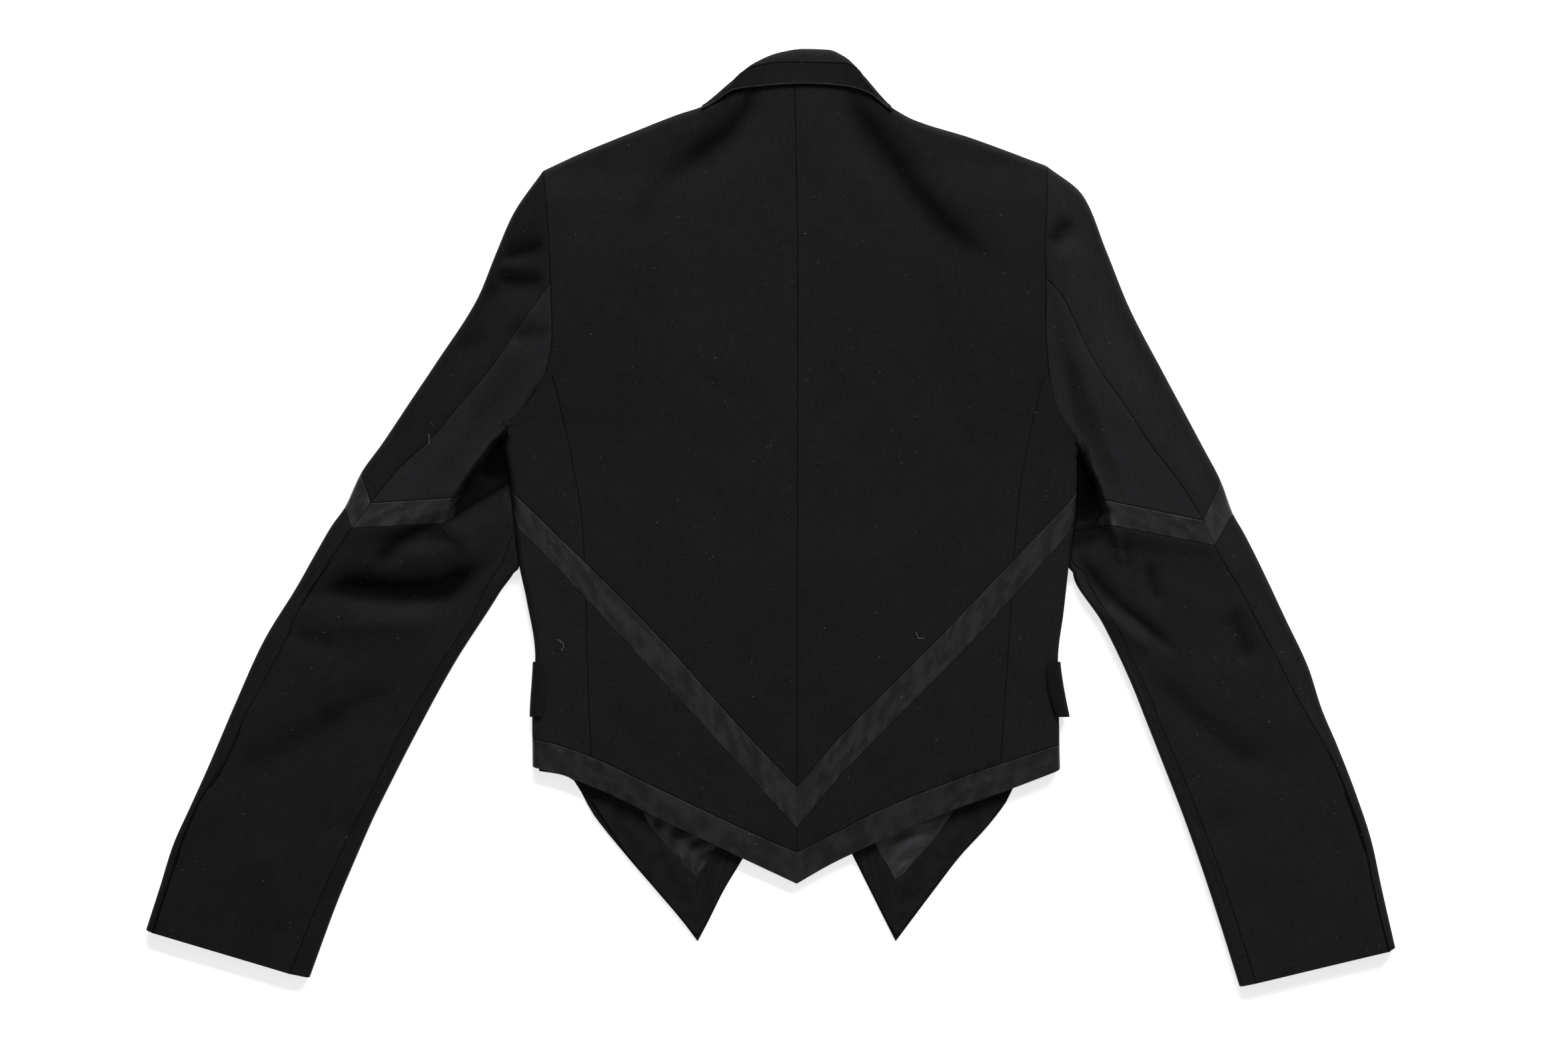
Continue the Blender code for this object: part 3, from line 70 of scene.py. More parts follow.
class Side(Enum):
    """The two halves of the jacket as the photograph shows them."""

    LEFT = -1
    RIGHT = 1

    @property
    def towards(self) -> float:
        """Direction along X in which this half lies."""
        return float(self.value)

    @property
    def label(self) -> str:
        """Ending of the names of this half's pieces."""
        return self.name.lower()


class Cloth(Enum):
    """The cloths of the jacket."""

    WOOL = "wool"
    SATIN = "satin"
    FACING = "facing"
    LINING = "lining"

    @property
    def slot(self) -> str:
        """Name of the record's slot. The facing takes the satin's slot, with a darker and duller copy of its
        material.
        """
        return "satin" if self is Cloth.FACING else self.value


class Edge(Enum):
    """How a border of a cut piece is finished."""

    PLAIN = "plain"
    SEWN = "sewn"
    FREE = "free"


@dataclass(frozen=True)
class WallSizes:
    """Thickness of the cloth shells, and the forms of seams and edges."""

    body: float = 1.0
    sleeve: float = 0.9
    collar: float = 1.5
    stand: float = 1.1
    flap: float = 1.2
    facing: float = 1.0
    lining: float = 0.5
    edge_round: float = 0.92
    least_square: float = 0.35
    seam_depth: float = 0.6
    seam_width: float = 1.0
    seam_shade: float = 0.70
    shade_width: float = 0.75
    near_seam: tuple[float, ...] = (0.0, 0.15, 0.4, 0.75, 1.2, 2.2)


@dataclass(frozen=True)
class SolidSizes:
    """Sizes of the solids that the shells have to lie on."""

    body_wall: float = 1.8
    sleeve_wall: float = 1.5
    flap_wall: float = 1.3
    flap_clearance: float = 0.7
    vent_clearance: float = 0.8
    lapel_wall: float = 2.0
    layer_gap: float = 0.35
    side_turn: float = math.radians(150.0)
    shoulder_turn: float = math.radians(135.0)
    side_roll: float = 5.0
    shoulder_roll: float = 6.0
    collar_roll: float = 4.5


@dataclass(frozen=True)
class CameraSizes:
    """A camera straight above the jacket, with the collar at the top of the picture."""

    lens: float = 85.0
    sensor: float = 36.0
    view_width: float = 1223.6
    centre_x: float = 10.4
    centre_y: float = -3.2
    focus_height: float = 10.0


@dataclass(frozen=True)
class Finish:
    """How a cloth takes the light.

    Attributes:
        dark: Base colour where the tone is lowest.
        light: Base colour where the tone is highest: the nap and uneven yarn of the wool, and on the other
            cloths the painted sheen of the satin's patches with the streaks of its weave.
        roughness: Lowest and highest roughness.
        specular: Specular level.
        sheen: Weight of the nap's sheen.
        sheen_roughness: Roughness of that sheen.
        yarn: Distance between yarns, in millimetres.
        weave_depth: Height of the yarns, in millimetres.
        nap_depth: Height of the fuzz, in millimetres.
    """

    dark: tuple[float, float, float]
    light: tuple[float, float, float]
    roughness: tuple[float, float]
    specular: float
    sheen: float
    sheen_roughness: float
    yarn: float
    weave_depth: float
    nap_depth: float


WALLS = WallSizes()
SOLID = SolidSizes()
CAMERA = CameraSizes()
FINISHES = {
    Cloth.WOOL: Finish(
        (0.0036, 0.0034, 0.0041), (0.0166, 0.0159, 0.0174), (0.66, 0.78), 0.05, 0.01, 0.50, 0.42, 0.06, 0.10
    ),
    Cloth.SATIN: Finish(
        (0.0022, 0.0020, 0.0024), (0.0246, 0.0233, 0.0254), (0.40, 0.50), 0.23, 0.01, 0.40, 0.26, 0.02, 0.03
    ),
    Cloth.FACING: Finish(
        (0.0040, 0.0037, 0.0042), (0.0105, 0.0099, 0.0110), (0.55, 0.66), 0.08, 0.01, 0.50, 0.26, 0.02, 0.03
    ),
    Cloth.LINING: Finish(
        (0.0080, 0.0085, 0.0094), (0.0330, 0.0342, 0.0366), (0.38, 0.50), 0.30, 0.01, 0.40, 0.30, 0.02, 0.02
    ),
}


def smooth_step(t: ArrayLike) -> Array:
    """Eased ramp from 0 to 1."""
    t = np.clip(t, 0.0, 1.0)
    return t * t * (3.0 - 2.0 * t)


def lerp(a: ArrayLike, b: ArrayLike, t: ArrayLike) -> Array:
    """Blend from a to b."""
    return a + (b - a) * t


def blend_rows(knots: Array, values: Array, at: Array) -> Array:
    """Reads a smooth curve that never swings past its knots.

    Args:
        knots: Rising places of the rows.
        values: One row of values for each knot; further axes match those of the places.
        at: Places to read.

    Returns:
        The values at the places.
    """
    steps = np.diff(knots)
    rises = np.diff(values, axis=0) / steps.reshape((-1,) + (1,) * (values.ndim - 1))
    before, after = rises[:-1], rises[1:]
    same_way = before * after > 0.0
    total = np.where(same_way, before + after, 1.0)
    slopes = np.concatenate([rises[:1], np.where(same_way, 2.0 * before * after / total, 0.0), rises[-1:]])
    at = np.clip(at, knots[0], knots[-1])
    index = np.clip(np.searchsorted(knots, at, side="right") - 1, 0, len(knots) - 2)
    width = knots[index + 1] - knots[index]
    t = (at - knots[index]) / width
    pick = np.indices(index.shape) if values.ndim > 1 else ()
    start, end = values[(index, *pick)], values[(index + 1, *pick)]
    lead, trail = slopes[(index, *pick)], slopes[(index + 1, *pick)]
    t, width = (a.reshape(a.shape + (1,) * (start.ndim - a.ndim)) for a in (t, width))
    t2, t3 = t * t, t * t * t
    return (
        (2 * t3 - 3 * t2 + 1) * start
        + (t3 - 2 * t2 + t) * width * lead
        + (3 * t2 - 2 * t3) * end
        + (t3 - t2) * width * trail
    )


class Line:
    """A smooth line through a short table of (at, value) knots."""

    def __init__(self, *knots: tuple[float, float]) -> None:
        """Sorts the knots along the line."""
        ordered = sorted(knots)
        self.at = np.array([knot[0] for knot in ordered], float)
        self.value = np.array([knot[1] for knot in ordered], float)

    def __call__(self, at: ArrayLike) -> Array:
        """Value of the line at any places."""
        return blend_rows(self.at, self.value, np.asarray(at, float))


HIDDEN_SEAM, OPEN_SEAM = 3.3, 2.0  # where the under seam runs round a sleeve, above and below the elbow


class Ring(NamedTuple):
    """A section of a sleeve: four places seen from above, their heights, and where the
    under seam runs."""

    outer: tuple[float, float]
    back_seam: tuple[float, float]
    inner_fold: tuple[float, float]
    inner_edge: tuple[float, float]
    outer_z: float
    seam_z: float
    fold_z: float
    edge_z: float
    under_seam: float = HIDDEN_SEAM


BROAD_PART, SHARP_PART, SHARPNESS = 0.7, 0.3, 2.6  # a crease's profile adds a broad and a sharp bell
END_RISE, END_FADE = 0.22, 4.0  # share of its rise left at a crease's ends, and how steeply it grows


@dataclass(frozen=True)
class Crease:
    """A soft trough or ridge in the cloth.

    Attributes:
        path: Places along it, seen from above.
        width: Half width on the left of the path.
        rise: Height over the cloth round it; a trough has a negative rise.
        lee: Half width on the right of the path, the same as width if it is 0.
    """

    path: tuple[tuple[float, float], ...]
    width: float
    rise: float
    lee: float = 0.0

    def height(self, x: Array, y: Array) -> Array:
        """Rise at places seen from above. It fades towards both ends of the path."""
        nearest = np.full(np.shape(x), 1e9)
        on_right = np.zeros(np.shape(x), bool)
        along = np.zeros(np.shape(x))
        lengths = [math.dist(start, end) for start, end in zip(self.path, self.path[1:])]
        passed = 0.0
        for start, end, length in zip(self.path, self.path[1:], lengths):
            dx, dy = end[0] - start[0], end[1] - start[1]
            t = ((x - start[0]) * dx + (y - start[1]) * dy) / length**2
            t = np.clip(t, 0.0, 1.0)
            away = np.hypot(x - start[0] - t * dx, y - start[1] - t * dy)
            closer = away < nearest
            turned = (x - start[0]) * dy - (y - start[1]) * dx > 0.0
            nearest = np.where(closer, away, nearest)
            on_right = np.where(closer, turned, on_right)
            along = np.where(closer, (passed + t * length) / sum(lengths), along)
            passed += length
        width = np.where(on_right, self.lee or self.width, self.width)
        share = nearest / width
        profile = BROAD_PART * np.exp(-(share**2)) + SHARP_PART * np.exp(-((SHARPNESS * share) ** 2))
        inside = smooth_step(along * END_FADE) * smooth_step((1.0 - along) * END_FADE)
        fade = END_RISE + (1.0 - END_RISE) * inside
        return self.rise * profile * fade


def creased(creases: Sequence[Crease], x: Array, y: Array) -> Array:
    """Sum of the rises of several creases."""
    return sum((crease.height(x, y) for crease in creases), np.zeros(np.shape(x)))


@dataclass(frozen=True)
class Waviness:
    """Low uneven waves that a pressed cloth keeps when it lies loose.

    Attributes:
        longest: Longest wave, in millimetres.
        shortest: Shortest wave.
        rise: Height of the waves.
        count: Number of waves added together.
        seed: Seed of their directions and phases.
    """

    longest: float
    shortest: float
    rise: float
    count: int
    seed: int

    def height(self, x: Array, y: Array) -> Array:
        """Rise at places seen from above."""
        rng = np.random.default_rng(self.seed)
        lengths = np.geomspace(self.shortest, self.longest, self.count)
        total = np.zeros(np.shape(x))
        for length in lengths:
            heading, phase = rng.uniform(0.0, 2.0 * math.pi, 2)
            bend = rng.uniform(-0.6, 0.6)
            along = x * math.cos(heading) + y * math.sin(heading)
            across = y * math.cos(heading) - x * math.sin(heading)
            wave = np.sin(2.0 * math.pi * along / length + phase + bend * np.sin(across / length))
            total += wave * length / self.longest
        return self.rise * total / math.sqrt(self.count)


# Places on the outline of the back: y, x, and the cloth's height there.
SIDE_EDGE = {
    Side.LEFT: (
        (271.4, -177.6, 16), (242, -174.5, 19), (213, -172.6, 19), (181, -171.3, 18),
        (144, -170.4, 16.5), (125, -172.6, 15.5), (103, -180.5, 14), (82, -195.8, 12.5),
        (70, -204.6, 11.5), (52.5, -207.2, 11), (29.6, -203.7, 10.5), (-35.4, -196.8, 10.5),
        (-63.5, -190.9, 10), (-108.7, -184, 10), (-156, -186.4, 9.5), (-200, -186.1, 9),
    ),
    Side.RIGHT: (
        (275.2, 215.4, 16), (245, 215, 19), (215, 213.5, 19), (187, 214, 18),
        (157.5, 214.2, 17), (137.7, 214.8, 16), (111.7, 217.4, 14.5), (95.6, 220.2, 13.5),
        (79.5, 226.4, 12.5), (63.9, 234.3, 11.5), (50.9, 239.2, 11), (19.2, 238.9, 10.5),
        (-30.7, 233.6, 10.5), (-72.9, 229.1, 10), (-110.3, 224.6, 10), (-158.1, 225.4, 9.5),
        (-200, 226.4, 9),
    ),
}
CENTRE_SEAM = Line((-290.0, 20.3), (196.5, 20.9), (336.4, 18.5), (352.5, 17.9))
CENTRE_HEIGHT = Line((-290.0, 6.5), (-230.0, 8.5), (-120.0, 10.5), (80.0, 11.0), (260.0, 11.5), (350.0, 11.0))
SIDE_SEAM = {
    Side.LEFT: Line(
        (-209.1, -139.1), (-129, -142.8), (-11.5, -146.6), (48.3, -155.9), (96.1, -166.6), (120.1, -173.3)
    ),
    Side.RIGHT: Line(
        (-209.1, 178.1), (-125.4, 183.9), (14.5, 193.5), (61.8, 201.5), (105.5, 211.4), (125.5, 216)
    ),
}
V_TOP = {
    Side.LEFT: Line((0, -209.9), (41.3, -166.5), (111, -89.5), (191.6, -9.3), (240, 37)),
    Side.RIGHT: Line((0, -209.9), (27.8, -177.1), (114.3, -89.5), (218.1, 18.9), (240, 41.5)),
}
V_BOTTOM = {
    Side.LEFT: Line((0, -242.3), (69.2, -166.5), (140.5, -89.5), (188.6, -38.1), (240, 13.5)),
    Side.RIGHT: Line((0, -242.3), (27.8, -208.5), (143.2, -89.5), (215.1, -8.9), (240, 19)),
}
HEM_TOP = {
    Side.LEFT: Line(
        (0, -261), (39.4, -243.7), (118.9, -205.9), (158.8, -187), (188.6, -176.4), (225, -168.5)
    ),
    Side.RIGHT: Line((0, -261), (27.8, -246.7), (67.5, -226.8), (127.2, -202.9), (167.1, -189), (225, -170)),
}
HEM_BOTTOM = {
    Side.LEFT: Line(
        (0, -285.5), (42.3, -265.6), (99.1, -238.7), (158.8, -209.9), (192.6, -197.5), (225, -191)
    ),
    Side.RIGHT: Line(
        (0, -285.5), (27.8, -269.6), (59.6, -254.6), (122.3, -227.8), (171, -209.9), (225, -189)
    ),
}
SHOULDER_LINE = Line(
    (-177.6, 271.4), (-149.3, 284.6), (-107.4, 301.8), (-71, 316.1), (-54.5, 321.5), (-29.4, 334.8),
    (-23.1, 341.1), (-3.4, 345.7), (20, 347.3), (46, 346), (65.8, 341.1), (79.8, 331.2),
    (94.9, 320.8), (111.5, 311.5), (157.1, 296.9), (215.4, 275.2),
)
NECK_LEFT, NECK_RIGHT, NECK_Y = -23.1, 65.8, 330.0
COLLAR_OUTLINE = Line(
    (-54.5, 321.5), (-39.9, 333.4), (-27.1, 344.3), (-12.5, 355.5), (7, 363.4), (25.7, 366.2),
    (45, 365.6), (57.7, 360.2), (67.7, 351.2), (84.1, 332.5), (95.1, 320.6),
)
COLLAR_SEAM = Line((-27.1, 344.3), (-13.8, 351.7), (11.2, 355.3), (56.8, 354.3), (69.0, 349.7))
COLLAR_EDGE = Line(
    (-54.5, 318.3), (-40, 327), (-27.3, 334), (-9.1, 336.4), (27.6, 338.5), (56.8, 336.6),
    (75, 331.6), (95.1, 317),
)
COLLAR_LEFT, COLLAR_RIGHT = -54.0, 94.6
STAND_LEFT, STAND_RIGHT = -25.0, 68.2
FALL_LOW = 3.0
FALL_LIFT = 2.2  # height of the fall's outer face over the back at its lower edge
NECK_TURN = 2.5  # radians that the fall turns down at the sides of the neck
NAPE_RISE = 1.4
SHOULDER_INSET = 4.0  # the back's height under the collar is read no nearer the shoulder line than this
DRAPE_LEFT, DRAPE_RIGHT = -36.0, 80.0  # the fall's ends beyond these follow the turned shoulder
FADE_LEFT, FADE_RIGHT = 12.0, 10.0  # and do so fully after these lengths
FALL_FADE, STAND_FADE = 16.0, 3.0  # the fall's turn comes in over these, from its ends and from the stand

SLEEVE_CAP = {
    Side.LEFT: (
        Ring((-201, 238.1), (-185.4, 163.7), (-202.8, 79.8), (-206.2, 69.3), 14, 21, 12, 11),
        Ring((-214.5, 207.4), (-199.4, 143.5), (-206, 77.6), (-206.9, 68), 13, 21, 12, 11),
        Ring((-229.1, 172.1), (-215, 120.1), (-210.5, 75), (-207.4, 65.8), 12, 20, 12, 10),
        Ring((-260.8, 122.7), (-239.5, 91.5), (-218, 59.5), (-207.9, 62.2), 11, 18, 12, 8),
        Ring((-282.1, 90.9), (-264.9, 61.8), (-227.5, 43.6), (-208.2, 57.6), 11, 16, 14, 6),
        Ring((-303.2, 59.2), (-288.9, 39.5), (-236.9, 29.6), (-208.2, 51.2), 11, 15, 15, 5.5),
    ),
    Side.RIGHT: (
        Ring((243.6, 252.7), (225.4, 174.7), (238.4, 65.2), (240, 54.2), 14, 21, 12, 11),
        Ring((262.3, 209), (237.4, 151.3), (240.9, 62.8), (240.6, 52.6), 13, 21, 12, 11),
        Ring((280, 165.3), (251.4, 123.2), (243.8, 60.2), (240.8, 50.2), 12, 20, 12, 10),
        Ring((306, 115.4), (277.9, 84.7), (248.2, 54), (240.8, 46), 11, 18, 12, 8),
        Ring((321.9, 85.7), (296.7, 56.1), (251.3, 44), (240.6, 36.9), 11, 16, 12, 7.5),
        Ring((337.7, 56.1), (318, 28.5), (254.5, 28.5), (240.3, 23.9), 11, 15, 13, 7),
    ),
}
SLEEVE_BAND = {
    Side.LEFT: (
        Ring((-320.3, 35.2), (-311.7, 11.9), (-245.7, 16.1), (-206.9, 41.8), 11, 14, 15, 5.5),
        Ring((-333, 8.5), (-326.8, -7.9), (-255.9, -4.3), (-204.8, 28.9), 11, 14, 14, 5.5),
    ),
    Side.RIGHT: (
        Ring((352, 28.8), (337, -1.6), (260.3, 14.3), (239.4, 8.3), 11, 14, 14, 6),
        Ring((361.3, 3.8), (346.3, -21.4), (266, -5.8), (237.4, -10.4), 11, 14, 14, 6),
    ),
}
FOREARM = {
    Side.LEFT: (
        Ring((-342.9, -5.3), (-335.1, -20.3), (-242.6, -19.3), (-202, 1.5), 11, 13, 8.8, 8.4),
        Ring((-355.9, -27.6), (-346.6, -36.5), (-214, -31.3), (-198.2, -33.3), 11, 12, 8.8, 8.4, 2.45),
        Ring((-370, -52.6), (-361.7, -58.3), (-224.9, -59.9), (-212.4, -58.8), 10, 12, 9, 8.5, 2),
        Ring((-396.5, -96), (-383.5, -105.1), (-258.2, -115), (-246.7, -112.4), 10, 12, 10, 9, 2),
        Ring((-419.6, -147.1), (-407.4, -148.8), (-288.9, -167.5), (-276.9, -167.5), 10, 12, 10, 9, 2),
        Ring((-439.7, -194.2), (-429.4, -195.9), (-310.2, -210.5), (-297.6, -207.9), 10, 11, 10, 9, 2),
        Ring((-453.7, -225.2), (-444.9, -220.4), (-324.2, -237.6), (-311.2, -235.6), 9.5, 11, 10, 9, 2),
        Ring((-467.5, -255.9), (-458.9, -253.1), (-339.3, -268.8), (-324.6, -266.2), 9, 10, 10, 9, 2),
        Ring((-477.4, -287.5), (-470.3, -287.5), (-353.3, -300), (-338.6, -299.5), 8.5, 10, 9, 8.5, 2),
        Ring((-488.4, -321.6), (-482, -324), (-375.7, -355.7), (-360.5, -358.9), 8.5, 9, 9, 8.5, 2),
    ),
    Side.RIGHT: (
        Ring((370, -11.5), (353.3, -34.4), (262.1, -24.3), (235.6, -28.1), 11, 13, 10, 8),
        Ring((383.4, -38), (366.9, -56.7), (253.4, -47.9), (236.4, -43.7), 11, 12, 9, 8, 2.5),
        Ring((402, -77.4), (387.7, -95.2), (272.2, -89.4), (259.2, -81.7), 10, 12, 9, 8.5, 2),
        Ring((420.5, -116.9), (406.9, -133.2), (294.1, -134.7), (281.6, -128.5), 10, 12, 10, 9, 2),
        Ring((430.8, -148.8), (419.4, -155.5), (305.4, -164), (293.4, -158.1), 10, 12, 10, 9, 2),
        Ring((443.3, -178.3), (434.5, -182), (318.9, -194.5), (306.5, -191.4), 10, 11, 10, 9, 2),
        Ring((458.4, -217.4), (450.8, -218.4), (334.6, -233.5), (322.1, -231.5), 9.5, 11, 10, 9, 2),
        Ring((469.9, -252.6), (462.9, -253.7), (349.2, -271.5), (336.2, -271), 9, 10, 10, 9, 2),
        Ring((477.9, -289.5), (470.7, -291.1), (362.7, -311.9), (348.9, -309.3), 8.5, 10, 9, 8.5, 2),
        Ring((488.4, -335.6), (482.3, -338.6), (378.8, -363.3), (366.6, -365.9), 8.5, 9, 9, 8.5, 2),
    ),
}
ARMHOLE_SEAM_Y = {Side.LEFT: 183.0, Side.RIGHT: 187.0}
ARMHOLE_FOLD = 12.0
UNDERARM_Y = {Side.LEFT: 70.0, Side.RIGHT: 55.0}
SHOULDER_TIP_Y = {Side.LEFT: 271.4, Side.RIGHT: 275.2}
SIDE_PANEL_TOP = {Side.LEFT: 111.0, Side.RIGHT: 108.0}
PANEL_CORNER = 4.0
ARMHOLE_BEND = 160.0
SLIT_LAP, SLIT_REACH = 0.25, 4.0  # gaps under the reach are closed with this lap
LEDGE_WIDTH = 7.0
OUTER_ROLL, INNER_ROLL = 0.5, 0.42  # radius of a sleeve's folds as a share of the height there
LEAST_ROLL, MOST_OUTER_ROLL, MOST_INNER_ROLL = 2.6, 6.0, 4.6

FRONT_EDGE = {
    Side.LEFT: Line(
        (-331, -57.2), (-318, -50.2), (-290.5, -36.4), (-265.8, -21.6), (-230.9, -2), (-188.3, 17),
        (-120, 31), (-12, 31), (18, 12), (262, -16), (335, -29),
    ),
    Side.RIGHT: Line(
        (-331, 97.8), (-312.4, 88.4), (-288.5, 76.5), (-264.6, 64.5), (-232.5, 47), (-188.3, 24),
        (-120, 9), (-12, 9), (18, 28), (262, 57), (335, 72),
    ),
}
FRONT_HEM = {
    Side.LEFT: Line(
        (-186, -197), (-157.8, -202.3), (-138.1, -232.8), (-114.1, -262.7), (-90.2, -290.5), (-68.4, -316.2),
        (-57.2, -331),
    ),
    Side.RIGHT: Line(
        (97.8, -331), (110.3, -314.3), (128.2, -290.5), (148.1, -264.6), (170, -240.7), (183.8, -222.8),
        (196, -202), (226, -197),
    ),
}
CLOSURE_EDGE = 9.0
CLOSURE_TOP, CLOSURE_BOTTOM = 60.0, -207.0
CLOSURE_MARGIN, CLOSURE_RAMP, CLOSURE_FADE = 8.0, 12.0, 26.0
LAPEL_LIFT_START, LAPEL_LIFT_END = 8.0, 36.0
LAPEL_RUN, LAPEL_FADE = 25.0, 35.0  # how far in from the side fold the lapel lifts the front
LAPEL_LOW, LAPEL_LENGTH = 52.0, 240.0
SIDE_GAP, TURNED_GAP = 0.4, 4.8  # between a front's side and the outline, where the fold is flat and turned
POINT_TOP = -160.0
SHOULDER_GAP = 5.2
POINT_FACING = {
    Side.LEFT: (
        ((-140, -221), (-114, -203)),
        ((-114.1, -260), (-96, -238)),
        ((-90.2, -288.5), (-77, -260.6)),
        ((-70.4, -311.5), (-65.5, -272.8)),
        ((-58, -326.5), (-58.5, -279.6)),
        ((-49.8, -313), (-52, -271.5)),
        ((-38.4, -290.5), (-42.5, -257)),
        ((-24.6, -268), (-30.5, -240.5)),
        ((-14, -248), (-22.5, -227)),
    ),
    Side.RIGHT: (
        ((182, -222), (155, -203)),
        ((168, -241), (141.5, -231.5)),
        ((146.4, -264.6), (127.8, -250.5)),
        ((127, -289), (112.5, -267.6)),
        ((110, -311.5), (103.5, -278.3)),
        ((98.6, -326.5), (97.5, -281.4)),
        ((90.2, -312.4), (91, -270)),
        ((78.3, -288.5), (83, -257)),
        ((66.5, -264.6), (74.5, -236)),
        ((54, -241), (66, -217)),
    ),
}
LAPEL_OUTER = {
    Side.LEFT: Line((52, 8), (120, -30), (200, -72), (262, -100), (292, -92)),
    Side.RIGHT: Line((52, 33.5), (120, 71), (200, 113), (262, 141), (292, 133)),
}
LAPEL_ROLL = {
    Side.LEFT: Line((52, 10.5), (120, 3), (200, -8), (262, -17.5), (292, -22.5)),
    Side.RIGHT: Line((52, 31), (120, 37.5), (200, 49), (262, 58.5), (292, 64)),
}
FRONT_COLLAR_TOP = {
    Side.LEFT: Line((-92, 299), (-62, 311.5), (-40, 329.5), (-26, 341.5)),
    Side.RIGHT: Line((133, 299), (103, 308.5), (82, 330.5), (68, 346)),
}
FRONT_COLLAR_LOW = 292.4
FLAP_TOP, FLAP_BOTTOM = -112.0, -155.0
FLAP_REACH = Line((-155.0, 2.5), (-150.0, 4.6), (-136.0, 5.6), (-119.0, 5.4), (-112.0, 3.6))
FLAP_RUN = 96.0
FLAP_FLARE = {Side.LEFT: 0.0, Side.RIGHT: 6.5}
FLARE_POWER = 1.3
FLAP_TUCK, FLAP_STEPS = 14.0, 24  # start and steps of the flap's run under the front
FLAP_MARGIN = 8.0
FLAP_RAMP = 16.0
VENT_START, VENT_SHARE, VENT_INSET = 1.01, 0.2, 3.0
VENT_ROWS = 4
# Strength of the painted shade on the strip beside the vent's seam, under the undersleeve's edge.
VENT_PAINTED_SHADE = 0.85
VENT_FADE = 60.0  # the vent's shade comes in over this length
VENT_SHADE_START, VENT_SHADE_WIDTH = 6.35, 0.35  # places round the sleeve
DULL_SHADE = 0.6  # satin faces whose painted shade passes this take the duller facing material, painted shade that also takes away their gleam

BODY_CREASES = (
    Crease(((-10, 344), (-22, 320), (-33, 303), (-53, 288), (-72, 272)), 14, -4.2, 17),
    Crease(((-56, 288), (-81, 266), (-98, 244), (-112, 218)), 17, -1.8, 20),
    Crease(((-20, 322), (-42, 330)), 14, 1.8),
    Crease(((-52, 305), (-78, 296)), 12, 0.9),
    Crease(
        ((54, 346), (68, 318), (88.4, 291), (111, 260), (133.5, 231.8), (156, 212), (178, 194)),
        width=14,
        rise=-4,
        lee=18,
    ),
    Crease(((92, 312), (118, 284)), 13, 1),
    Crease(((-63.9, 115.4), (-13.9, 90.4)), 12, -0.8),
    Crease(((75.4, 108.2), (21.8, 65.4)), 12, -0.8),
    Crease(((-120, -150), (-96, -205)), 13, -0.5),
    Crease(((150, -120), (120, -178)), 14, -0.5),
    Crease(((-131, -204), (-122, -224)), 4.5, -1.3),
    Crease(((-112, -214), (-108, -232)), 5, -1.1),
    Crease(((-92, -224), (-84, -241)), 5, -1),
    Crease(((146, -200), (140, -218)), 4.5, -1.4),
    Crease(((160, -196), (157, -210)), 4, -1.2),
    Crease(((173, -190), (170, -204)), 4.5, -1.3),
)
SLEEVE_CREASES = (
    Crease(((-212, 202), (-190, 209), (-172, 217)), 11, -4, 8),
    Crease(((-216, 189), (-195, 184.2), (-173, 188)), 9, -3.8, 11),
    Crease(((-232, 184), (-212, 172)), 13, -2),
    Crease(((-204, 138), (-188.5, 142.8), (-168, 149)), 11, -2.7),
    Crease(((-246, 130), (-218, 140)), 15, -1.8),
    Crease(((-218, 198), (-188, 198)), 8, 1.2),
    Crease(((-206, 232), (-184, 236)), 12, 2.2),
    Crease(((-252, -3), (-247.8, 15.6), (-211, 66), (-186, 98)), 3, 1.4),
    Crease(((-208, 66), (-198, 79), (-186, 96), (-177, 111)), 3.2, -4),
    Crease(((-208, 150), (-180, 160)), 12, 1.2),
    Crease(
        ((-221.1, -35.6), (-242.1, -47.3), (-255.9, -56.5))
        + ((-288.4, -58.8), (-330.3, -54.2), (-355.8, -57.7)),
        width=11,
        rise=-7.5,
        lee=15,
    ),
    Crease(((-312, -40), (-301.2, -28), (-290.4, -18), (-275.5, -9.6), (-251.3, -2.8)), 11, -3.9, 9),
    Crease(((-290, -34), (-262, -26), (-226, -10)), 13, 1.6),
    Crease(((-200, 160), (-220, 106), (-240, 66), (-264, 26)), 17, 3.6),
    Crease(((229, 150), (246, 98), (262, 58), (280, 18)), 17, 3.6),
    Crease(((-340, -84), (-300, -82), (-262, -84)), 15, 2.8),
    Crease(((-374.3, -90.2), (-334.9, -100.6)), 11, -1.7),
    Crease(((-360.4, -162.1), (-320.9, -142.4), (-293.1, -133.1)), 15, -1.7),
    Crease(((-425.7, -201.2), (-393.9, -185.3), (-358.1, -167.3), (-322.3, -151.4)), 20, -1.7),
    Crease(((-400, -250), (-372, -320)), 24, 1.8),
    Crease(((216.4, 213.1), (234.3, 235)), 11, -4),
    Crease(((240, 214), (222, 196)), 11, 1.4),
    Crease(((237.1, -25.2), (254, -48), (272, -68.1), (290.5, -82.1), (318.4, -106.4)), 6, -3.3, 10),
    Crease(((221.5, 95), (235, 69), (244.5, 50.5), (256, 25), (263, 1.6)), 3, 1.4),
    Crease(((263, 1.6), (266.8, -7.7), (271.4, -21.6), (273.6, -38.6)), 4, 3, 3),
    Crease(((275, -18), (277.5, -32), (277, -44)), 5, -2.3),
    Crease(((294.6, -34), (297.5, -50), (302, -68)), 7, -2.6),
    Crease(((357.8, -70.3), (376.2, -114.5)), 12, -2.6),
    Crease(((256, -66), (276, -86), (300, -106)), 10, 3),
    Crease(((287.4, -115.3), (313.2, -135.3), (334.6, -156.4), (367.1, -184.1), (397.3, -195.8)), 16, -2.3),
    Crease(((330, -245), (362, -232)), 14, -1.2),
    Crease(((-322, -250), (-360, -232)), 14, -1),
)
FLAP_LIFT = SOLID.flap_wall + SOLID.flap_clearance + 0.1
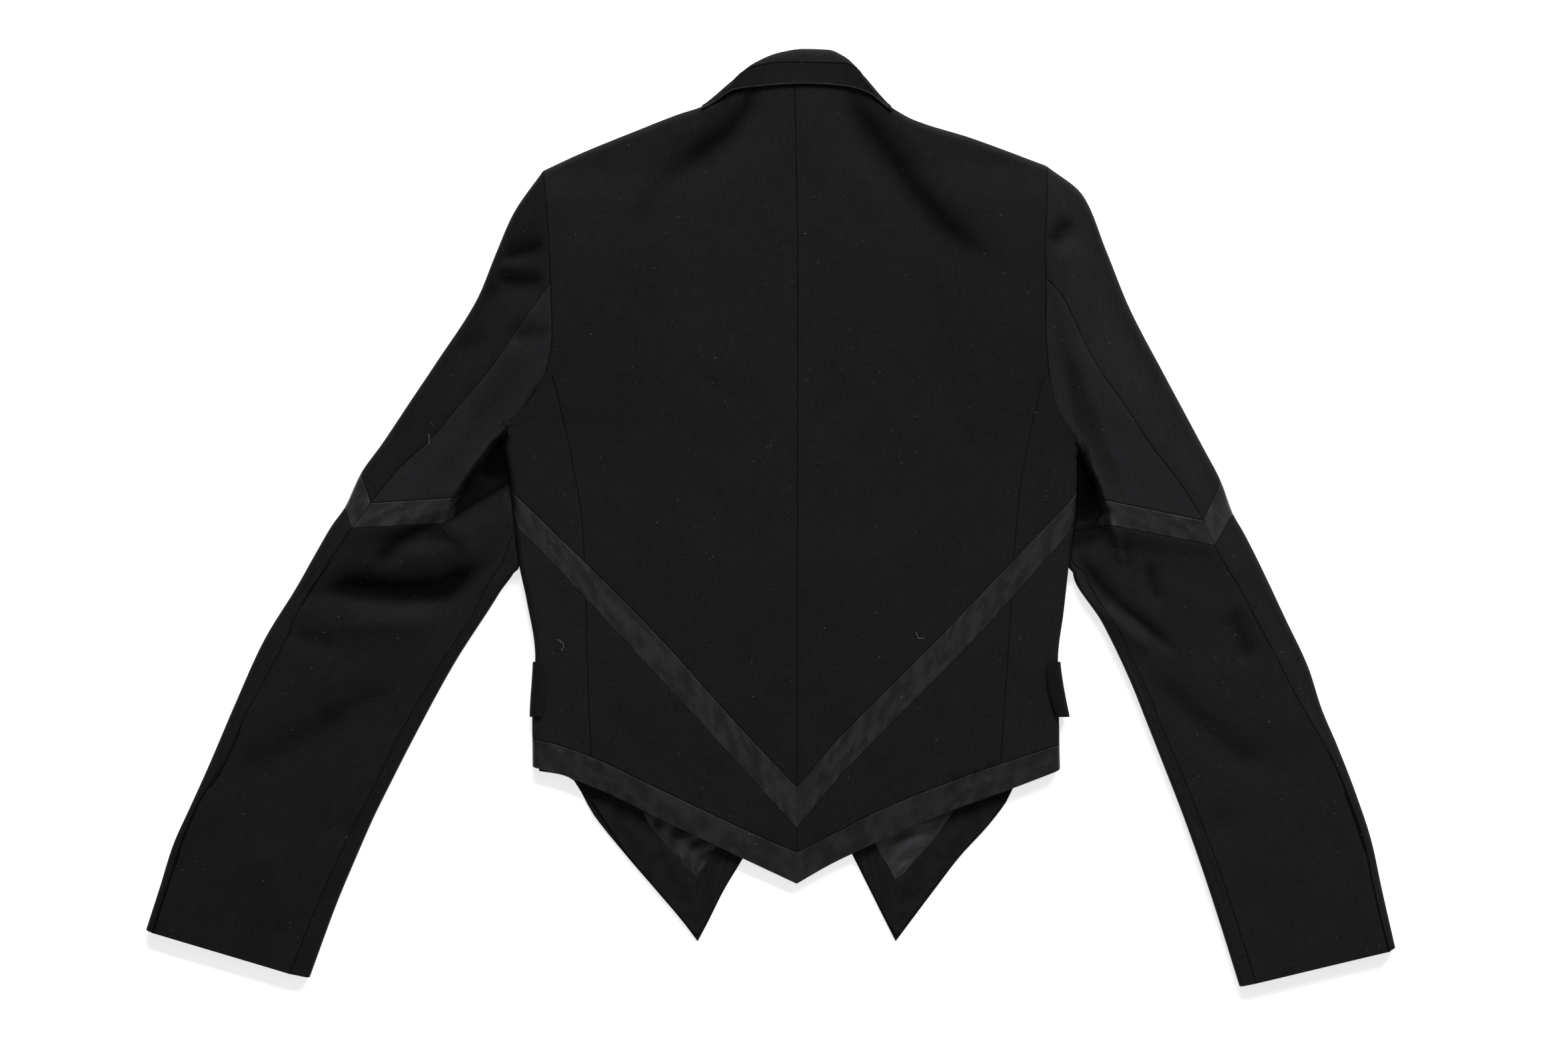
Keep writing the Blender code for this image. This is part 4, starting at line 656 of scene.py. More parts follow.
SIDE_FADE, NECK_FADE = 16.0, 26.0  # over these lengths the cloth begins to turn at side and shoulder
EDGE_CALM = 12.0  # steepness with which the back's folds and waves fade at its outline
LEAST_TURN = 4.0  # least length of cloth that is given to the lines of a turn
NEAR_FOLD = 3.0  # steepness of the fades round a sleeve
BAND_FADE, CAP_FADE = 3.0, 22.0  # waves come in over these, from the band's seams and the armhole
LEAST_ROOM = 2.2  # between a sleeve's lower and upper cloth
LINING_TUCK = 5.0  # how far the lining runs on under the facing
TUCK_RISE, TUCK_COUNT, TUCK_TWIST = 0.5, 9.0, 0.30  # wrinkles that fan out from the lining's peak
TUCK_PALE, TUCK_FADE = 0.35, 0.9  # painted shade: wrinkles above the first get none, and it grows to full over the second
LINING_WAVE = 3.0
FACING_STRETCH, FACING_WAVE, LOWEST_WAVE = 0.7, 1.3, -0.3
BAND_CALM, BAND_ACROSS, BAND_ALONG = 20.0, 0.8, 0.25  # the bands' waves: where they fade and how they stretch
# Strength of the painted shade in the lining's wrinkles, on each side.
LINING_PAINTED_SHADE = {Side.LEFT: 0.62, Side.RIGHT: 0.30}
PEAK_SHARE = 0.985
# Painted shade at the bottoms of creases and of the hem band's puckers: its strength, and the depth at which
# it is full.
CREASE_PAINTED_SHADE, CREASE_DEEP = 0.88, 5.5
PUCKER_PAINTED_SHADE, PUCKER_DEEP = 0.58, 1.2
BODY_WAVES = Waviness(150.0, 34.0, 0.30, 9, 11)
SLEEVE_WAVES = Waviness(110.0, 26.0, 0.26, 9, 23)
BAND_WAVES = Waviness(30.0, 13.0, 0.16, 6, 5)


def plan_depth(roll: float, turn: ArrayLike) -> Array:
    """How far a turned edge reaches past the flat, seen from above."""
    return roll * np.sin(np.minimum(turn, math.pi / 2.0))


def flap_nearness(y: ArrayLike) -> Array:
    """1 beside the pocket flap, fading out above and below it."""
    below = smooth_step(1.0 + (y - FLAP_BOTTOM + FLAP_MARGIN) / FLAP_RAMP)
    return below * smooth_step(1.0 + (FLAP_TOP + FLAP_MARGIN - y) / FLAP_RAMP)


class Body:
    """The back's outer face on one side. A place is (distance from the centre seam
    along the cloth, y); past a fold the distance goes on round it."""

    def __init__(self, side: Side) -> None:
        """Reads the outline of this side."""
        self.side = side
        rows = sorted(SIDE_EDGE[side])
        self.edge = Line(*((y, x) for y, x, _ in rows))
        self.edge_height = Line(*((y, height) for y, _, height in rows))

    def edge_reach(self, y: Array) -> Array:
        """Distance from the centre seam to the outline, seen from above."""
        return np.abs(self.edge(y) - CENTRE_SEAM(y))

    def seam_reach(self, y: Array) -> Array:
        """Distance from the centre seam to the curved side seam, or to the armhole."""
        above = np.clip((y - SIDE_PANEL_TOP[self.side]) / PANEL_CORNER, 0.0, 1.0)
        return lerp(self.panel_reach(y), self.edge_reach(y), above)

    def panel_reach(self, y: Array) -> Array:
        """Distance from the centre seam to the curved side seam alone."""
        return np.abs(SIDE_SEAM[self.side](y) - CENTRE_SEAM(y))

    def panel_top(self, reach: Array) -> Array:
        """The side panel's top line, which rises to its corner at the armhole."""
        low = SIDE_PANEL_TOP[self.side]
        seam, armhole = self.panel_reach(low), self.edge_reach(low + PANEL_CORNER)
        return low + PANEL_CORNER * np.clip((reach - seam) / (armhole - seam), 0.0, 1.0)

    def turn(self, y: Array) -> Array:
        """Angle that the cloth turns at the side fold."""
        return SOLID.side_turn * smooth_step((UNDERARM_Y[self.side] - y) / SIDE_FADE)

    def ground_lift(self, y: Array) -> Array:
        """Height of what lies under the side fold: the pocket flap."""
        return FLAP_LIFT * flap_nearness(y)

    def flat_reach(self, y: Array) -> Array:
        """Distance from the centre seam to the start of the turn."""
        return self.edge_reach(y) - plan_depth(SOLID.side_roll, self.turn(y))

    def roll_radius(self, y: Array) -> Array:
        """Mean radius of the turn at the side fold."""
        return (SOLID.side_roll + self.edge_height(y) / 2.0) / 2.0

    def full_reach(self, y: Array) -> Array:
        """Distance along the cloth to the end of the turn at the side fold."""
        return self.flat_reach(y) + self.turn(y) * self.roll_radius(y)

    def knee_reach(self, y: Array) -> Array:
        """Where the closer columns of a panel begin."""
        return np.minimum(self.flat_reach(y), self.full_reach(y) - LEAST_TURN)

    def shade(self, places: Array) -> Array:
        """How little light reaches the bottoms of the creases, from 0 to 1."""
        rise = creased(BODY_CREASES, places[..., 0], places[..., 1])
        depths = [hollow.dark * hollow.depth(places[..., 0], places[..., 1]) for hollow in NECK_HOLLOWS]
        return np.maximum.reduce([CREASE_PAINTED_SHADE * smooth_step(-rise / CREASE_DEEP), *depths])

    def height(self, x: Array, y: Array) -> Array:
        """Height of the cloth seen from above, folds included."""
        share = np.abs(x - CENTRE_SEAM(y)) / self.edge_reach(y)
        calm = smooth_step((1.0 - share) * EDGE_CALM)
        level = lerp(CENTRE_HEIGHT(y), self.edge_height(y), smooth_step(share))
        return level + (creased(BODY_CREASES, x, y) + BODY_WAVES.height(x, y)) * calm

    def shoulder_turn(self, x: Array) -> Array:
        """Angle that the cloth turns at the shoulder, none along the neck seam."""
        beyond = smooth_step((NECK_LEFT - x) / NECK_FADE) + smooth_step((x - NECK_RIGHT) / NECK_FADE)
        return SOLID.shoulder_turn * beyond

    def shoulder_flat(self, x: Array) -> Array:
        """Where the turn at the shoulder starts."""
        return SHOULDER_LINE(x) - plan_depth(SOLID.shoulder_roll, self.shoulder_turn(x))

    def shoulder_end(self, x: Array) -> Array:
        """Distance along the cloth to the end of the turn at the shoulder."""
        radius = (SOLID.shoulder_roll + self.height(x, self.shoulder_flat(x)) / 2.0) / 2.0
        return self.shoulder_flat(x) + self.shoulder_turn(x) * radius

    def shoulder_knee(self, x: Array) -> Array:
        """Where the closer rows of a panel begin."""
        return np.minimum(self.shoulder_flat(x), self.shoulder_end(x) - LEAST_TURN)

    def point(self, reach: Array, y: Array) -> Array:
        """Places on the outer face, as an array of x, y, z."""
        flat_reach = self.flat_reach(y)
        turns_under = self.turn(y) > 0
        over_side = np.maximum(reach - flat_reach, 0.0)
        angle = np.where(turns_under, over_side / self.roll_radius(y), 0.0)
        beyond = np.where(turns_under, SOLID.side_roll * np.sin(angle), over_side)
        x_flat = CENTRE_SEAM(y) + self.side.towards * np.minimum(reach, flat_reach)
        x = x_flat + self.side.towards * beyond
        flat_y = self.shoulder_flat(x_flat)
        over_top = np.maximum(y - flat_y, 0.0)
        place_y = np.minimum(y, flat_y)
        top = self.height(x_flat, place_y)
        low = self.ground_lift(place_y)
        z = low + (top - low) / 2.0 * (1.0 + np.cos(angle))
        turns_down = self.shoulder_turn(x_flat) > 0
        bend = np.where(turns_down, over_top / ((SOLID.shoulder_roll + top / 2.0) / 2.0), 0.0)
        turned_y = place_y + np.where(turns_down, SOLID.shoulder_roll * np.sin(bend), over_top)
        turned_z = top / 2.0 * (1.0 + np.cos(bend))
        rolled = over_top > 0
        return np.stack([x, np.where(rolled, turned_y, y), np.where(rolled, turned_z, z)], -1)


@dataclass(frozen=True)
class Hollow:
    """A dark hollow where the cloth of a sleeve drops away at the elbow, with painted shade.
    One whose floor lies above the cloth isn't lowered and only gets the painted shade.

    Attributes:
        outline: Places round it, seen from above.
        floor: Height of its floor.
        slope: Width of its sides.
        dark: Strength of the painted shade on its floor, how little light reaches there, from 0 to 1.
    """

    outline: tuple[tuple[float, float], ...]
    floor: float
    slope: float
    dark: float

    def depth(self, x: Array, y: Array) -> Array:
        """1 inside, easing to 0 over the sides."""
        inside = np.zeros(np.shape(x), bool)
        nearest = np.full(np.shape(x), 1e9)
        for start, end in zip(self.outline, self.outline[1:] + self.outline[:1]):
            (ax, ay), (bx, by) = start, end
            run_x, run_y = bx - ax, by - ay
            crosses = (ay > y) != (by > y)
            if run_y != 0:
                inside ^= crosses & (x < run_x * (y - ay) / run_y + ax)
            t = np.clip(((x - ax) * run_x + (y - ay) * run_y) / (run_x**2 + run_y**2), 0.0, 1.0)
            nearest = np.minimum(nearest, np.hypot(x - ax - t * run_x, y - ay - t * run_y))
        signed = np.where(inside, nearest, -nearest)
        return smooth_step(0.5 + signed / self.slope)


# A piece's base colour is multiplied by its number here, set to the photograph: painted light
# and shade that make whole pieces lighter or darker as the light falls on them; a piece that
# isn't named takes 1.
PIECE_PAINTED_LIGHT = {
    "back_upper_left": 0.90,
    "back_upper_right": 0.90,
    "back_lower_left": 0.94,
    "back_lower_right": 0.94,
    "side_upper_left": 0.93,
    "side_upper_right": 0.90,
    "collar_fall": 0.88,
    "collar_stand": 1.45,
    "topsleeve_upper_left": 0.82,
    "topsleeve_upper_right": 1.16,
    "undersleeve_upper_left": 1.50,
    "undersleeve_upper_right": 1.50,
    "topsleeve_lower_left": 0.86,
    "undersleeve_lower_left": 0.94,
    "topsleeve_lower_right": 1.08,
    "undersleeve_lower_right": 1.06,
    "topsleeve_band_left": 1.25,
    "undersleeve_band_left": 1.32,
    "topsleeve_band_right": 1.20,
    "undersleeve_band_right": 0.92,
    "back_hem_band": 0.82,
    "front_lining_left": 0.74,
    "front_lining_right": 1.06,
    "pocket_flap_left": 0.80,
    "pocket_flap_right": 0.60,
}
# The hollows under the collar's ends don't lower the cloth; they only paint shade on it.
NECK_HOLLOWS = (
    Hollow(((-46, 324.5), (-36, 332.5), (-22, 337), (-22, 333), (-36, 326.5)), 0, 4, 0.95),
    Hollow(((77, 332.5), (88, 328), (97, 319), (92, 317.5), (84, 324.5)), 0, 4, 0.95),
)
# Hollows at the elbows. Those with a low floor lower the cloth and get painted shade; those whose floor lies
# above the cloth only get the painted shade.
HOLLOWS = {
    Side.LEFT: (
        Hollow(((-204, 70), (-217.1, 57.5), (-224, 48), (-228, 34), (-217, 28), (-200, 33)), 2.2, 5, 1),
        Hollow(
            ((-202, 72), (-217.1, 57.5), (-229.9, 41.2), (-240.4, 26.1), (-248.2, 12.9), (-252.5, -3))
            + ((-228.7, 11.5), (-202, 27.2)),
            floor=5,
            slope=4,
            dark=0.84,
        ),
        Hollow(((-259, -3), (-250, -5), (-238, -15), (-243, -23), (-255, -12)), 20, 9, 0.5),
        Hollow(((-262, 16), (-246, 18), (-251, -4), (-266, -2)), 20, 12, 0.45),
    ),
    Side.RIGHT: (
        Hollow(
            ((236, 50), (244.6, 46.8), (251, 35), (255.6, 23.7), (257, 8), (250, -2), (233, -3)),
            floor=2.2,
            slope=4,
            dark=1,
        ),
        Hollow(
            ((236, 56), (243.6, 49.8), (250.5, 34), (256.1, 21.7), (259.4, 10.9), (262.5, 4))
            + ((258, -3), (232, -5)),
            floor=5,
            slope=6,
            dark=0.90,
        ),
        Hollow(((232, 2), (258, 2), (262, -2), (264, -10), (254, -20), (232, -26)), 20, 11, 0.68),
    ),
}


class Sleeve:
    """A sleeve's outer face. A place is (round, along): round runs 0 to 1 from the outer
    fold to the back seam, to 2 at the inner crease, to 3 at the inner edge, to 4 round
    it, to 5 along the ground, to 6 round the outer fold and to 7 back to the seam."""

    def __init__(self, side: Side, body: Body) -> None:
        """Gathers the sleeve's rings and how far apart they lie, from the armhole on."""
        self.side = side
        self.body = body
        cap, band = SLEEVE_CAP[side], SLEEVE_BAND[side]
        self.rings = cap + band + FOREARM[side]
        self.marks = np.array([(r.outer, r.back_seam, r.inner_fold, r.inner_edge) for r in self.rings])
        self.levels = np.array([(r.outer_z, r.seam_z, r.fold_z, r.edge_z) for r in self.rings], float)
        self.under = np.array([self.rings[0].under_seam] + [r.under_seam for r in self.rings])
        heights = self._armhole_heights()
        armhole = np.stack([body.edge(heights), heights], -1)
        steps = np.linalg.norm(np.diff(np.concatenate([armhole[None], self.marks]), axis=0), axis=2)
        self.knots = np.concatenate([[0.0], np.cumsum(steps.mean(axis=1))])
        self.band_top = self.knots[len(cap) + 1]
        self.band_bottom = self.knots[len(cap) + 2]
        self.cuff = self.knots[-1]

    def _armhole_heights(self) -> Array:
        """The y of the armhole's four marks, from the shoulder's tip to the underarm."""
        low = UNDERARM_Y[self.side]
        return np.array([SHOULDER_TIP_Y[self.side], ARMHOLE_SEAM_Y[self.side], low + ARMHOLE_FOLD, low])

    @staticmethod
    def _stretches(around: Array) -> tuple[Array, Array, Array, list[Array]]:
        """Place round the sleeve short of the full turn, how far it has turned at the
        inner and at the outer fold, and tests for its six stretches."""
        wrapped = np.where(around > 6, around - 6, around)
        phi_in = (np.clip(around, 3, 4) - 3) * math.pi
        phi_out = (6 - np.clip(around, 5, 6)) * math.pi
        tests = [wrapped <= 1, wrapped <= 2, wrapped <= 3, around <= 4, around <= 5, around <= 6]
        return wrapped, phi_in, phi_out, tests

    def _armhole_section(self, around: Array) -> Array:
        """The armhole as a section. It follows the body's edge, seen from above."""
        marks = self._armhole_heights()
        roll = SOLID.shoulder_roll
        tip, low = self.body.shoulder_flat(self.body.edge(marks[0])), marks[3] + roll
        wrapped, phi_in, phi_out, tests = self._stretches(around)
        turned = phi_out * (roll + self.body.edge_height(tip) / 2.0) / 2.0
        y = np.select(
            tests,
            [
                lerp(tip, marks[1], wrapped),
                lerp(marks[1], marks[2] + roll, wrapped - 1),
                lerp(marks[2] + roll, low, wrapped - 2),
                marks[3] + roll * (1 - np.sin(phi_in)),
                lerp(low, tip, around - 4),
                tip + turned,
            ],
        )
        place = self.body.point(self.body.edge_reach(y), y)
        place[..., 2] = np.where((around > 4) & (around <= 5), 0.0, place[..., 2])
        rolled_z = self.body.edge_height(low) / 2 * (1 + np.cos(phi_in))
        place[..., 2] = np.where((around > 3) & (around <= 4), rolled_z, place[..., 2])
        return place

    def _section(self, marks: Array, levels: Array, around: Array) -> Array:
        """A section through its four marks, as places round it."""
        outer, seam, fold, edge = marks
        radius_out = np.clip(levels[0] * OUTER_ROLL, LEAST_ROLL, MOST_OUTER_ROLL)
        radius_in = np.clip(levels[3] * INNER_ROLL, LEAST_ROLL, MOST_INNER_ROLL)
        from_outer = (seam - outer) / np.linalg.norm(seam - outer)
        from_edge = (fold - edge) / np.linalg.norm(fold - edge)
        start, end = outer + from_outer * radius_out, edge + from_edge * radius_in
        wrapped, phi_in, phi_out, tests = self._stretches(around)
        span = np.linalg.norm(end - fold)
        ledge = smooth_step((wrapped - 2) * span / min(LEDGE_WIDTH, span))
        x, y = (
            np.select(
                tests,
                [
                    lerp(start[c], seam[c], wrapped),
                    lerp(seam[c], fold[c], wrapped - 1),
                    lerp(fold[c], end[c], wrapped - 2),
                    edge[c] + from_edge[c] * radius_in * (1 - np.sin(phi_in)),
                    lerp(end[c], start[c], around - 4),
                    outer[c] + from_outer[c] * radius_out * (1 - np.sin(phi_out)),
                ],
            )
            for c in (0, 1)
        )
        z = np.select(
            tests,
            [
                lerp(levels[0], levels[1], smooth_step(wrapped)),
                lerp(levels[1], levels[2], smooth_step(wrapped - 1)),
                lerp(levels[2], levels[3], ledge),
                levels[3] / 2 * (1 + np.cos(phi_in)),
                0.0 * around,
                levels[0] / 2 * (1 + np.cos(phi_out)),
            ],
        )
        return np.stack([x, y, z], -1)

    def point(self, around: Array, along: Array) -> Array:
        """Places on the outer face, as an array of x, y, z."""
        sections = [self._armhole_section(around)]
        sections += [self._section(m, l, around) for m, l in zip(self.marks, self.levels)]
        place = blend_rows(self.knots, np.stack(sections), along)
        near_edge = smooth_step((around - 2.5) * NEAR_FOLD)
        place[..., 0] -= self._slit(along) * near_edge * smooth_step((4.6 - around) * NEAR_FOLD)
        wrapped = self._stretches(around)[0]
        on_top = smooth_step(wrapped * 4) * smooth_step((3 - wrapped) * NEAR_FOLD) * (wrapped < 3)
        calm = on_top * smooth_step(along / CAP_FADE)
        x, y = place[..., 0], place[..., 1]
        rise = (creased(SLEEVE_CREASES, x, y) + SLEEVE_WAVES.height(x, y)) * calm
        below_top = smooth_step((along - self.band_top) / BAND_FADE)
        in_band = below_top * smooth_step((self.band_bottom - along) / BAND_FADE)
        rise = rise + BAND_WAVES.height(x, y) * in_band * calm
        top = np.maximum(place[..., 2] + rise, 2.0 * WALLS.sleeve + LEAST_ROOM)
        inner = (around > 1.0) & (around < 3.0)
        for hollow in HOLLOWS[self.side]:
            top = lerp(top, np.minimum(top, hollow.floor + WALLS.sleeve), hollow.depth(x, y) * inner)
        place[..., 2] = np.where((on_top > 0) & (around < 6.999), top, place[..., 2])
        return place

    def _slit(self, along: Array) -> Array:
        """Distance along X from the inner edge to the body's side fold where the two all
        but touch, with what the round edges pass under each other."""
        low = UNDERARM_Y[self.side]
        edge = np.concatenate([[(float(self.body.edge(low)), low)], self.marks[:, 3]])
        x, y = (blend_rows(self.knots, edge[:, part], along) for part in (0, 1))
        towards = self.side.towards
        gap = (x - self.body.edge(y)) * towards
        return towards * (gap + SLIT_LAP) * smooth_step(SLIT_REACH - gap)

    def under_seam(self, along: Array) -> Array:
        """Where the under seam runs, as a place round the sleeve."""
        return blend_rows(self.knots, self.under, along)


class Collar:
    """The turned-down collar. A place is (x, y) with y going on round the fold."""

    def __init__(self, bodies: dict[Side, Body]) -> None:
        """Keeps both sides of the back that the collar lies on."""
        self.bodies = bodies

    def back_height(self, x: Array, y: Array) -> Array:
        """Height of the back under the collar."""
        left = self.bodies[Side.LEFT].height(x, y)
        right = self.bodies[Side.RIGHT].height(x, y)
        return np.where(x < CENTRE_SEAM(y), left, right)

    def fall_turn(self, x: Array) -> Array:
        """Angle that the fall turns at the sides of the neck."""
        from_stand = smooth_step((STAND_LEFT - 2.0 - x) / STAND_FADE)
        left = smooth_step((x - COLLAR_LEFT) / FALL_FADE) * from_stand
        from_stand = smooth_step((x - STAND_RIGHT - 2.0) / STAND_FADE)
        right = smooth_step((COLLAR_RIGHT - x) / FALL_FADE) * from_stand
        return NECK_TURN * (left + right)

    def fall_top(self, x: Array) -> Array:
        """The fall's top line: the seam at the back, the outline at the sides."""
        from_left = smooth_step((x - COLLAR_SEAM.at[0]) / (STAND_LEFT - COLLAR_SEAM.at[0]))
        from_right = smooth_step((COLLAR_SEAM.at[-1] - x) / (COLLAR_SEAM.at[-1] - STAND_RIGHT))
        return lerp(COLLAR_OUTLINE(x), COLLAR_SEAM(x), from_left * from_right)

    def top_height(self, x: Array, y: Array) -> Array:
        """Height of the fall's outer face."""
        base = self.back_height(x, np.minimum(y, SHOULDER_LINE(x) - SHOULDER_INSET))
        past = np.clip((y - SHOULDER_LINE(x)) / SOLID.shoulder_roll + 1.0, 0.0, 1.0)
        ends = smooth_step((DRAPE_LEFT - x) / FADE_LEFT) + smooth_step((x - DRAPE_RIGHT) / FADE_RIGHT)
        base = base - base / 2.0 * (1.0 - np.sqrt(1.0 - past**2)) * ends
        edge, outline = COLLAR_EDGE(x), COLLAR_OUTLINE(x)
        share = smooth_step((y - edge) / np.maximum(outline - edge, 1.0))
        return base + FALL_LIFT + NAPE_RISE * share

    def fall_flat(self, x: Array) -> Array:
        """Where the fall starts to turn."""
        return self.fall_top(x) - plan_depth(SOLID.collar_roll, self.fall_turn(x))

    def fall_point(self, x: Array, y: Array) -> Array:
        """Places on the fall's outer face."""
        flat = self.fall_flat(x)
        over = np.maximum(y - flat, 0.0)
        place_y = np.minimum(y, flat)
        top = self.top_height(x, place_y)
        turns = self.fall_turn(x) > 0
        bend = np.where(turns, over / ((SOLID.collar_roll + (top - FALL_LOW) / 2.0) / 2.0), 0.0)
        turned_y = place_y + np.where(turns, SOLID.collar_roll * np.sin(bend), over)
        turned_z = FALL_LOW + (top - FALL_LOW) / 2.0 * (1.0 + np.cos(bend))
        rolled = over > 0
        return np.stack([x, np.where(rolled, turned_y, y), np.where(rolled, turned_z, top)], -1)

    def fall_end(self, x: Array) -> Array:
        """Distance along the cloth to the end of the fall's turn."""
        flat = self.fall_flat(x)
        top = self.top_height(x, flat)
        return flat + self.fall_turn(x) * (SOLID.collar_roll + (top - FALL_LOW) / 2.0) / 2.0

    def stand_point(self, x: Array, along: Array) -> Array:
        """The strip above the fall's seam: 0 to 1 to the fold, to 2 round it, to 3 back
        down inside to the neck seam."""
        seam, outline = COLLAR_SEAM(x), COLLAR_OUTLINE(x)
        radius = np.minimum(SOLID.collar_roll, 0.9 * (outline - seam))
        neck = SHOULDER_LINE(x)
        top = self.top_height(x, outline)
        start = self.top_height(x, seam)
        low = self.back_height(x, neck - 1.0) - SOLID.body_wall
        phi = (np.clip(along, 1, 2) - 1) * math.pi
        tests = [along <= 1, along <= 2, along <= 4]
        y = np.select(
            tests,
            [
                lerp(seam, outline - radius, along),
                outline - radius * (1 - np.sin(phi)),
                lerp(outline - radius, neck, along - 2),
            ],
        )
        z = np.select(
            tests,
            [
                lerp(start, top, along * (2.0 - along)),
                low + (top - low) / 2 * (1 + np.cos(phi)),
                low + 0.0 * x,
            ],
        )
        return np.stack([x, y, z], -1)


class Span(NamedTuple):
    """Steps of a grid between two marks, and the usual distance between the marks."""

    steps: int
    length: float


def index_lines(spans: Sequence[Span], tight_start: bool = True, tight_end: bool = True) -> Array:
    """Lines of a grid, with closer ones beside its two ends.

    Args:
        spans: Steps from mark to mark; mark k lies at k.
        tight_start: Whether the first border is a seam or edge.
        tight_end: Whether the last border is.

    Returns:
        Rising places in units of marks.
    """
    near = np.array(WALLS.near_seam)
    parts = []
    for k, span in enumerate(spans):
        low, high = 0.0, 1.0
        lead, trail = np.array([]), np.array([])
        if k == 0 and tight_start:
            lead, low = near[:-1] / span.length, near[-1] / span.length
        if k == len(spans) - 1 and tight_end:
            trail, high = 1.0 - near[:-1][::-1] / span.length, 1.0 - near[-1] / span.length
        middle = np.linspace(low, high, max(span.steps, 1) + 1)
        if len(trail) == 0:
            middle = middle[:-1]
        parts.append(k + np.concatenate([lead, middle, trail]))
    if not tight_end:
        parts.append(np.array([float(len(spans))]))
    return np.concatenate(parts)


def between(marks: Sequence[Array], index: Array) -> Array:
    """Values between marks, evenly from each to the next."""
    value = marks[0] + 0.0 * index
    for k, (low, high) in enumerate(zip(marks, marks[1:])):
        value = np.where(index >= k, lerp(low, high, np.clip(index - k, 0.0, 1.0)), value)
    return value


SETTLE_FROM, SETTLE_STEPS, SETTLE_SHARE = 60.0, 40, 0.6  # first y, and the steps towards the settled place


def settle(columns: Sequence[Mark], rows: Sequence[Mark], s: Array, t: Array) -> tuple[Array, Array]:
    """Places of a panel on the cloth.

    Each mark across is a function of y, and each mark up is a function of the reach, so
    the two are settled together.

    Args:
        columns: Marks across.
        rows: Marks up.
        s: Lines across, in units of marks.
        t: Lines up.

    Returns:
        The reach and the y of every place.
    """
    u_index, v_index = np.meshgrid(s, t)
    y = np.full(u_index.shape, SETTLE_FROM)
    reach = between([mark(y) for mark in columns], u_index)
    y = between([mark(reach) for mark in rows], v_index)
    for _ in range(SETTLE_STEPS):
        reach = lerp(reach, between([mark(y) for mark in columns], u_index), SETTLE_SHARE)
        y = lerp(y, between([mark(reach) for mark in rows], v_index), SETTLE_SHARE)
    return reach, y


def at_centre(y: Array) -> Array:
    """The centre seam as a mark across."""
    return 0.0 * y


def level(y: float) -> Mark:
    """A level line as a mark up."""
    return lambda reach: np.full(np.shape(reach), y)


def over_x(line: Mark, side: Side) -> Mark:
    """A line across the shoulder, read at a reach instead of an x."""
    centre = float(CENTRE_SEAM(NECK_Y))
    return lambda reach: line(centre + side.towards * reach)


@dataclass(frozen=True)
class Borders:
    """How the four borders of a grid are finished."""

    first_row: Edge = Edge.SEWN
    last_row: Edge = Edge.SEWN
    first_column: Edge = Edge.SEWN
    last_column: Edge = Edge.SEWN


ALL_FREE, ALL_PLAIN = (Borders(edge, edge, edge, edge) for edge in (Edge.FREE, Edge.PLAIN))


def arc_lengths(places: Array, axis: int) -> Array:
    """Distance along the grid's lines from its first border."""
    steps = np.linalg.norm(np.diff(places, axis=axis), axis=-1)
    total = np.cumsum(steps, axis=axis)
    return np.insert(total, 0, 0.0, axis=axis)


def read_places(at: Array, knots: Array, line: Array) -> Array:
    """Places along a line of x and y, straight from knot to knot."""
    return np.stack([np.interp(at, knots, line[:, part]) for part in (0, 1)], -1)


def round_off(share: Array) -> Array:
    """Quarter circle from 1 at a border to 0 where the rounding ends."""
    return 1.0 - np.sqrt(1.0 - (1.0 - np.clip(share, 0.0, 1.0)) ** 2)


